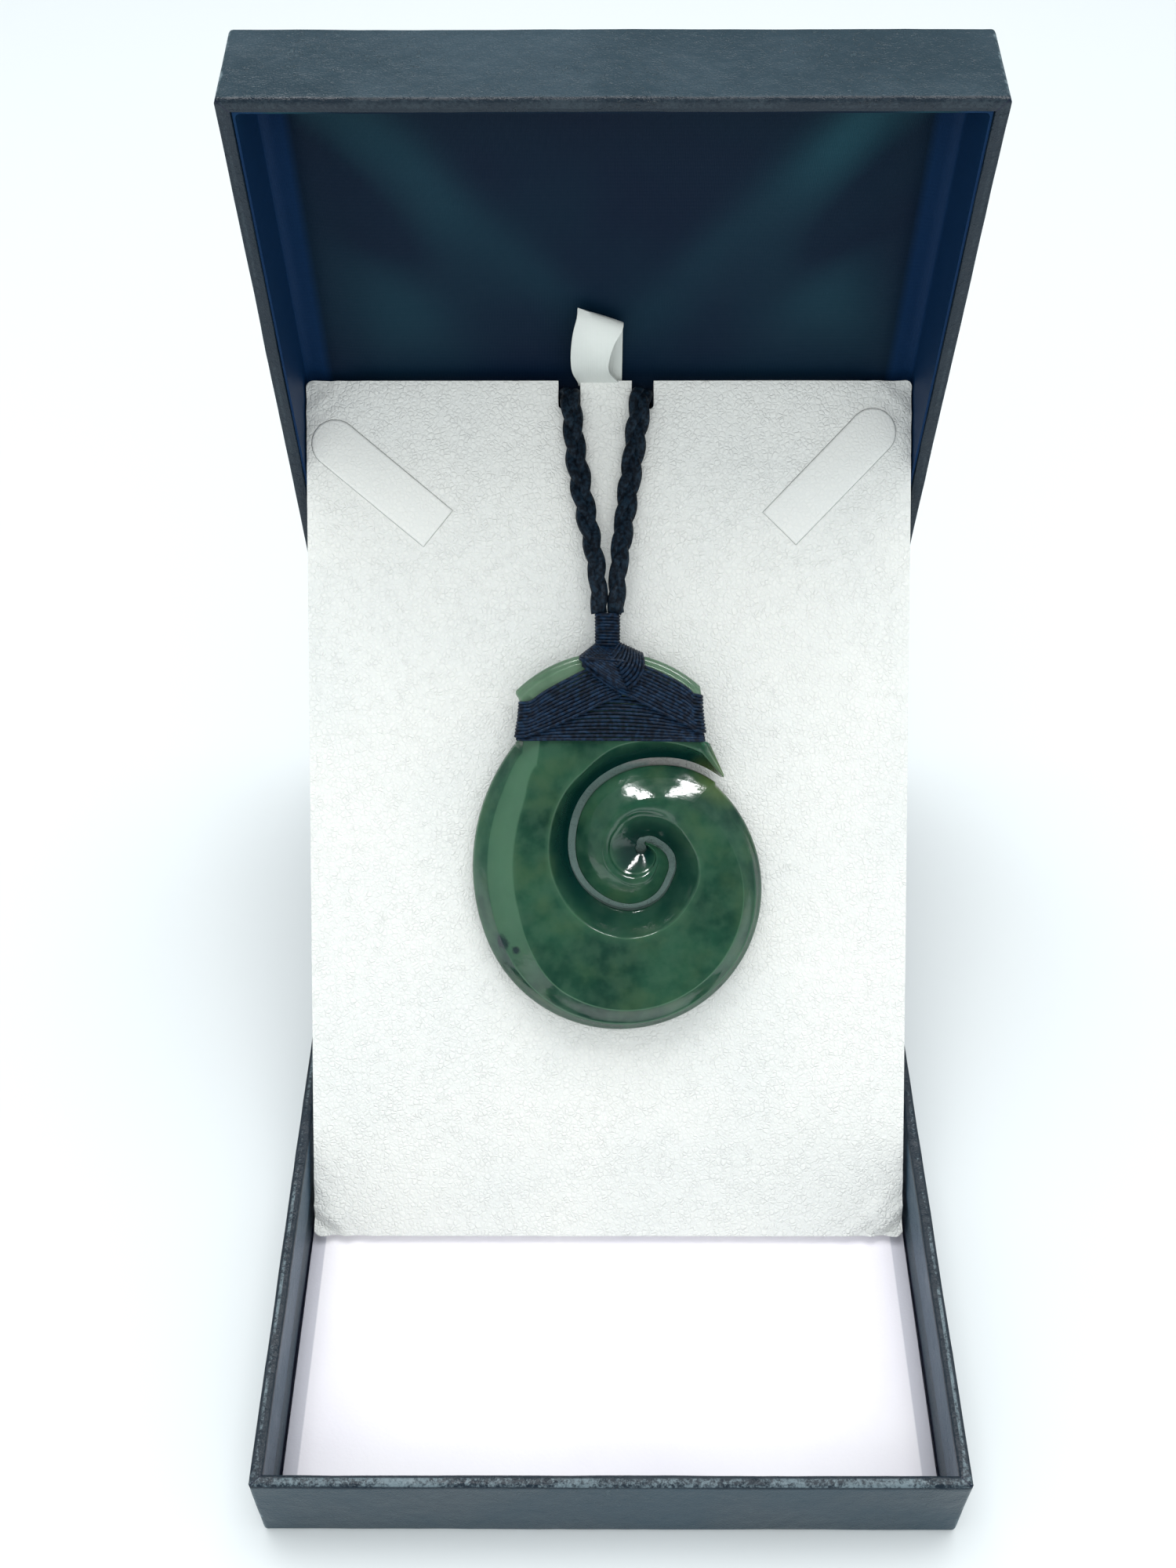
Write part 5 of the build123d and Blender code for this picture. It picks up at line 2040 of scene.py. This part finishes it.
    def arch(self, points: list[tuple], angle: float, start: float, end: float, top: float) -> list[tuple]:
        """Rounds the coil's section into a dome, the more the further in it lies.

        Args:
            points: The section's points.
            angle: The section's angle.
            start: Where the dome starts.
            end: Where it ends.
            top: Its height in the middle.

        Returns:
            The rounded section.
        """
        part = clamp((angle - self.coil_start) / (self.coil_full - self.coil_start))
        share = self.arch_share * ease(part)
        inside = [point for point in points if start <= point[0] <= end and point[1] > 0.01]
        first, last = inside[0][1], inside[-1][1]
        found = []
        for point in points:
            if share and point in inside:
                t = (point[0] - start) / max(end - start, 1e-6)
                if t < self.arch_crest:
                    dome = top - (top - first) * (1 - t / self.arch_crest) ** 2
                else:
                    fall = (t - self.arch_crest) / (1 - self.arch_crest)
                    drop = fall - self.crest_fall * (1 - math.exp(-fall / self.crest_fall))
                    dome = top - (top - last) * drop / (1 - self.crest_fall)
                light = point[3] * (1 - part)
                point = (point[0], point[1] + share * (dome - point[1]), point[2], light)
            found.append(point)
        return found

    def build(self) -> None:
        """Makes the stone."""
        rows = self.polar()
        first = rows[0][0]
        rings, values = [], []
        for angle in self.stations(rows):
            across, up = math.cos(math.radians(angle)), math.sin(math.radians(angle))
            reaches, heights, groove, pale = zip(*self.section(rows, angle, first))
            spots = [
                Vector((self.centre[0] + reach * across, self.centre[1] + reach * up, height))
                for reach, height in zip(reaches, heights)
            ]
            rings.append([self.to_waist(spot) for spot in spots])
            values.append({"groove": groove, "pale": pale})
        bm = bmesh.new()
        loft(bm, rings, values)
        bmesh.ops.recalc_face_normals(bm, faces=bm.faces)
        groove, pale, cap = (layer(bm, name) for name in ("groove", "pale", "cap"))
        # On the cap the groove's painted shade and the painted sheen give way to the cap's painted sheen.
        for vert in bm.verts:
            if vert.co.y > self.cap_low:
                vert[groove], vert[pale], vert[cap] = 0.0, 0.0, 1.0
        tip = Vector((*self.tip, 3.0))
        paint(bm, "olive", lambda spot: max(0.0, 1.0 - (spot - tip).length / self.olive_reach))
        self.piece(bm, "carved_stone", "koru_stone", Slot.JADE, self.layout.stone_place)


@dataclass
class Lashing(Assembly):
    """Waxed thread: level turns, two crossing bands, the knot over the cap and the neck whipping."""

    thread: float = 0.6
    layer: float = 0.58
    first_offset: float = 0.33
    stone_front: float = 7.7
    corner: float = 0.8
    turns_low: float = 27.6
    turns_high: float = 33.4
    turns: int = 12
    wrap_top: float = 40.0
    wrap_threads: int = 11
    left_band: tuple = (
        (-2.0, 36.0, 42.0), (1.5, 34.6, 41.2), (4.8, 32.9, 40.0), (9.0, 31.0, 37.9), (12.0, 29.7, 36.2),
        (14.3, 28.9, 34.6), (16.0, 28.4, 34.2),
    )
    right_band: tuple = (
        (-5.0, 41.2, 42.4), (0.85, 36.9, 42.0), (4.35, 35.3, 41.4), (10.2, 32.3, 39.0), (13.7, 30.6, 36.9),
        (15.8, 29.3, 34.6), (17.2, 29.0, 33.6),
    )
    triangle_rise: float = 2.4
    foot_flare: float = 0.85
    flare_top: float = 34.5
    flare_height: float = 6.5
    knot_top: float = 44.9
    knot_threads: int = 10
    knot_cover: float = 0.12
    knot_meet: tuple = ((1.2, 37.0), (-1.7, 42.9))
    knot_left: tuple = ((-7.1, 42.3), (-4.0, 44.7))
    knot_right: tuple = ((3.9, 42.8), (-0.3, 44.7))
    knot_outline: tuple = (
        (-4.4, 44.9), (-5.9, 43.9), (-7.0, 42.6), (-6.0, 41.0), (-4.0, 39.3), (-0.8, 37.3), (1.0, 37.1),
        (2.4, 39.0), (3.3, 40.9), (3.7, 42.9), (1.6, 43.9), (-0.2, 44.9),
    )
    whip_x: float = -2.25
    whip_z: float = 2.6
    whip_low: float = 44.4
    whip_length: float = 6.3
    whip_half: Pair = (2.05, 1.6)
    whip_turns: int = 10

    def lay(self, bm: Mesh, name: str, node: str) -> None:
        """Finishes laid thread as a piece."""
        self.piece(bm, name, node, Slot.WAXED_THREAD, self.layout.stone_place)

    def flare(self, y: float) -> float:
        """How much further out the winding goes at its sides, low on the waist."""
        return self.foot_flare * clamp((self.flare_top - y) / self.flare_height) ** 1.5

    def waist_path(self, share: float, y: float, offset: float) -> Vector:
        """A place on the way round the waist.

        Args:
            share: How far round, 0 to 1, from the middle of the back towards the right.
            y: The height.
            offset: Distance from the waist's surface.

        Returns:
            The place.
        """
        half = self.layout.waist_half(y) + offset + self.flare(y)
        front, back = self.stone_front + offset, -offset
        radius = self.corner + offset
        straight = 2 * (half - radius)
        upright = front - back - 2 * radius
        bend = math.pi * radius / 2
        along = share % 1.0 * (2 * straight + 2 * upright + 4 * bend)
        x, z = self.layout.waist_x, back
        runs = ((straight / 2, 1, 0), (upright, 0, 1), (straight, -1, 0), (upright, 0, -1), (straight / 2, 1, 0))
        for length, dx, dz in runs:
            part = min(along, length)
            x, z = x + dx * part, z + dz * part
            turn = min(along - part, bend) / radius
            x += radius * (dx * math.sin(turn) - dz * (1 - math.cos(turn)))
            z += radius * (dz * math.sin(turn) + dx * (1 - math.cos(turn)))
            along -= part + turn * radius
            if along <= 1e-9:
                break
        return Vector((x, y, z))

    def build_turns(self) -> None:
        """Winds the level turns round the waist as one long thread."""
        bm = bmesh.new()
        steps = 72
        path = []
        for number in range(self.turns * steps + 1):
            share = number / steps
            y = self.turns_low + (self.turns_high - self.turns_low) * share / self.turns
            stray = noise.noise(Vector((share * 3.1, share * 0.7, 2.0)))
            spot = self.waist_path(share, y + 0.07 * stray, self.first_offset + 0.05 * stray)
            if spot.z > self.stone_front:
                across = min(1.0, abs(spot.x - self.layout.waist_x) / (self.layout.waist_low_half - 2))
                spot.y += self.triangle_rise * share / self.turns * (1 - across * across)
            path.append(spot)
        tube(bm, path, self.thread / 2)
        self.lay(bm, "waist_turns", "lashing_turns")

    def wrap_height(self, side: int, x: float, share: float) -> float:
        """Height of one thread of a crossing band at a place across the stone."""
        rows = self.right_band if side > 0 else self.left_band
        low, high = KoruStone.smooth(rows, 1, x), KoruStone.smooth(rows, 2, x)
        return low + (high - low) * share

    def build_wrap(self, side: int, layer: int) -> None:
        """Lays one crossing band, front and back, over the waist.

        Args:
            side: -1 for the band from the left, 1 for the right.
            layer: How many layers lie under it.
        """
        bm = bmesh.new()
        start = (self.right_band if side > 0 else self.left_band)[0][0]
        offset = self.first_offset + self.layer
        radius = self.corner + offset
        waist, count = self.layout.waist_high_half, 30
        for number in range(self.wrap_threads):
            share = number / (self.wrap_threads - 1)
            front = []
            half = waist + offset + self.flare(self.wrap_height(side, waist, share))
            for step in range(count + 1):
                x = start + (half - radius - start) * step / count
                stray = 0.05 * noise.noise(Vector((x / 3, number * 3.3, side * 5.0)))
                y = self.wrap_height(side, x, share) + stray
                over = (layer - 1) * self.layer * (1 - clamp((x - 1) / 6))
                front.append((x, y, self.stone_front + offset + over + stray))
            path = list(front)
            y = front[-1][1]
            drop = (front[-1][1] - front[-2][1]) * 0.6
            for level, face in ((self.stone_front + offset, 1), (-offset, -1)):
                for step in range(1, 6):
                    fall = step / 5 if face > 0 else 1 - step / 5
                    turn = math.pi / 2 * fall
                    z = level - face * radius * (1 - math.cos(turn))
                    path.append((half - radius + radius * math.sin(turn), y + drop * fall, z))
            path += [(x, y, self.stone_front - z) for x, y, z in reversed(front[:-1])]
            tube(bm, [Vector((self.layout.waist_x + side * x, y, z)) for x, y, z in path], self.thread / 2)
        name = side_name(side)
        self.lay(bm, f"crossing_band_{name}", f"lashing_wrap_{name}")

    def knot_depth(self, y: float, face: int) -> float:
        """How far out the knot's surface is at a height, in front (1) or behind (-1).

        Args:
            y: The height.
            face: 1 or -1.

        Returns:
            The depth.
        """
        slope = self.wrap_top + 0.8
        full = self.stone_front + self.layout.lashing_stack if face > 0 else -self.layout.lashing_stack
        narrow = self.whip_z + face * self.whip_half[1]
        share = clamp((y - slope) / (self.knot_top - slope))
        return full - face * self.thread / 2 + (narrow - full) * ease(share)

    def build_knot(self) -> None:
        """Ties the knot: threads from the left shoulder and from the right meet low on its right."""
        bm = bmesh.new()
        rims = []
        for face in (1, -1):
            depths = [self.knot_depth(y, face) - face * self.knot_cover for _, y in self.knot_outline]
            rims.append([Vector((*spot, depth)) for spot, depth in zip(self.knot_outline, depths)])
        loft(bm, rims)
        strands = []
        for number in range(self.knot_threads):
            share = number / (self.knot_threads - 1)
            runs = (self.knot_meet, self.knot_left, self.knot_right)
            meet, left, right = (Vector(low).lerp(Vector(high), share) for low, high in runs)
            strands.append((left, meet, Vector((-0.1, -0.1))))
            strands.append((right, meet, Vector((1.1, -0.3)) * (1 - share)))
        steps = 16
        for start, end, bow in strands:
            path = []
            for face in (1, -1):
                part = []
                for step in range(steps + 1):
                    t = step / steps
                    flat = end.lerp(start, t) + bow * (4 * t * (1 - t))
                    sink = 0.3 * (1 - min(1.0, t * 6))
                    z = self.knot_depth(flat.y, face) + face * (self.knot_cover - sink)
                    part.append(Vector((flat.x, flat.y, z)))
                if face > 0:
                    path += part
                    near, far = self.knot_depth(start.y, 1), self.knot_depth(start.y, -1)
                    for turn in (0.25, 0.5, 0.75):
                        lift = 0.45 * math.sin(math.pi * turn)
                        path.append(Vector((start.x, start.y + lift, near + (far - near) * turn)))
                else:
                    path += reversed(part)
            tube(bm, path, self.thread / 2)
        self.lay(bm, "knot_threads", "head_knot")

    def build_whipping(self) -> None:
        """Winds the neck whipping round a filled oval."""
        bm = bmesh.new()
        steps = 36
        path = []
        low = self.whip_low + self.thread / 2
        high = self.whip_low + self.whip_length - self.thread / 2
        for number in range(self.whip_turns * steps + 1):
            share = number / steps
            turn = math.tau * share
            stray = 1 + 0.02 * noise.noise(Vector((share * 5, 1.0, 0)))
            squared = math.copysign(abs(math.cos(turn)) ** 0.75, math.cos(turn))
            x = self.whip_x + self.whip_half[0] * squared * stray
            z = self.whip_z + self.whip_half[1] * math.sin(turn) * stray
            path.append(Vector((x, low + (high - low) * share / self.whip_turns, z)))
        tube(bm, path, self.thread / 2)
        middle = Matrix.Translation((self.whip_x, (low + high) / 2, self.whip_z))
        shape = middle @ Matrix.Rotation(math.pi / 2, 4, "X") @ Matrix.Diagonal((*self.whip_half, 1, 1))
        bmesh.ops.create_cone(
            bm, cap_ends=True, segments=24, radius1=1.0, radius2=1.0, depth=self.whip_length - 0.5, matrix=shape
        )
        self.lay(bm, "whipping_turns", "neck_whipping")

    def build(self) -> None:
        """Makes all the lashing."""
        self.build_turns()
        self.build_wrap(-1, 1)
        self.build_wrap(1, 2)
        self.build_knot()
        self.build_whipping()


def main() -> None:
    """Builds the scene in order."""
    logging.basicConfig(level=logging.INFO, format="%(name)s: %(message)s")
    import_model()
    layout = Layout()
    view = Photograph()
    view.camera()
    finishes = Finishes(layout)
    NeckCord(layout, finishes).build()
    base, lid = ("base_tray", FRAME, Body.BOX, "base_shell"), ("lid_tray", layout.lid_place, Body.LID, "lid_shell")
    Tray(layout, finishes, *base, hinge_cut=1.65, seed=1.0, scuffed=1.0).build()
    Tray(layout, finishes, *lid, hinge_cut=1.95, seed=5.0, scuffed=0.12).build()
    HingeStrip(layout, finishes).build()
    TrayFloor(layout, finishes).build()
    LidLining(layout, finishes).build()
    DisplayPad(layout, finishes).build()
    RibbonLoop(layout, finishes).build()
    KoruStone(layout, finishes).build()
    Lashing(layout, finishes).build()
    view.floor()
    view.light()


if __name__ == "__main__":
    main()
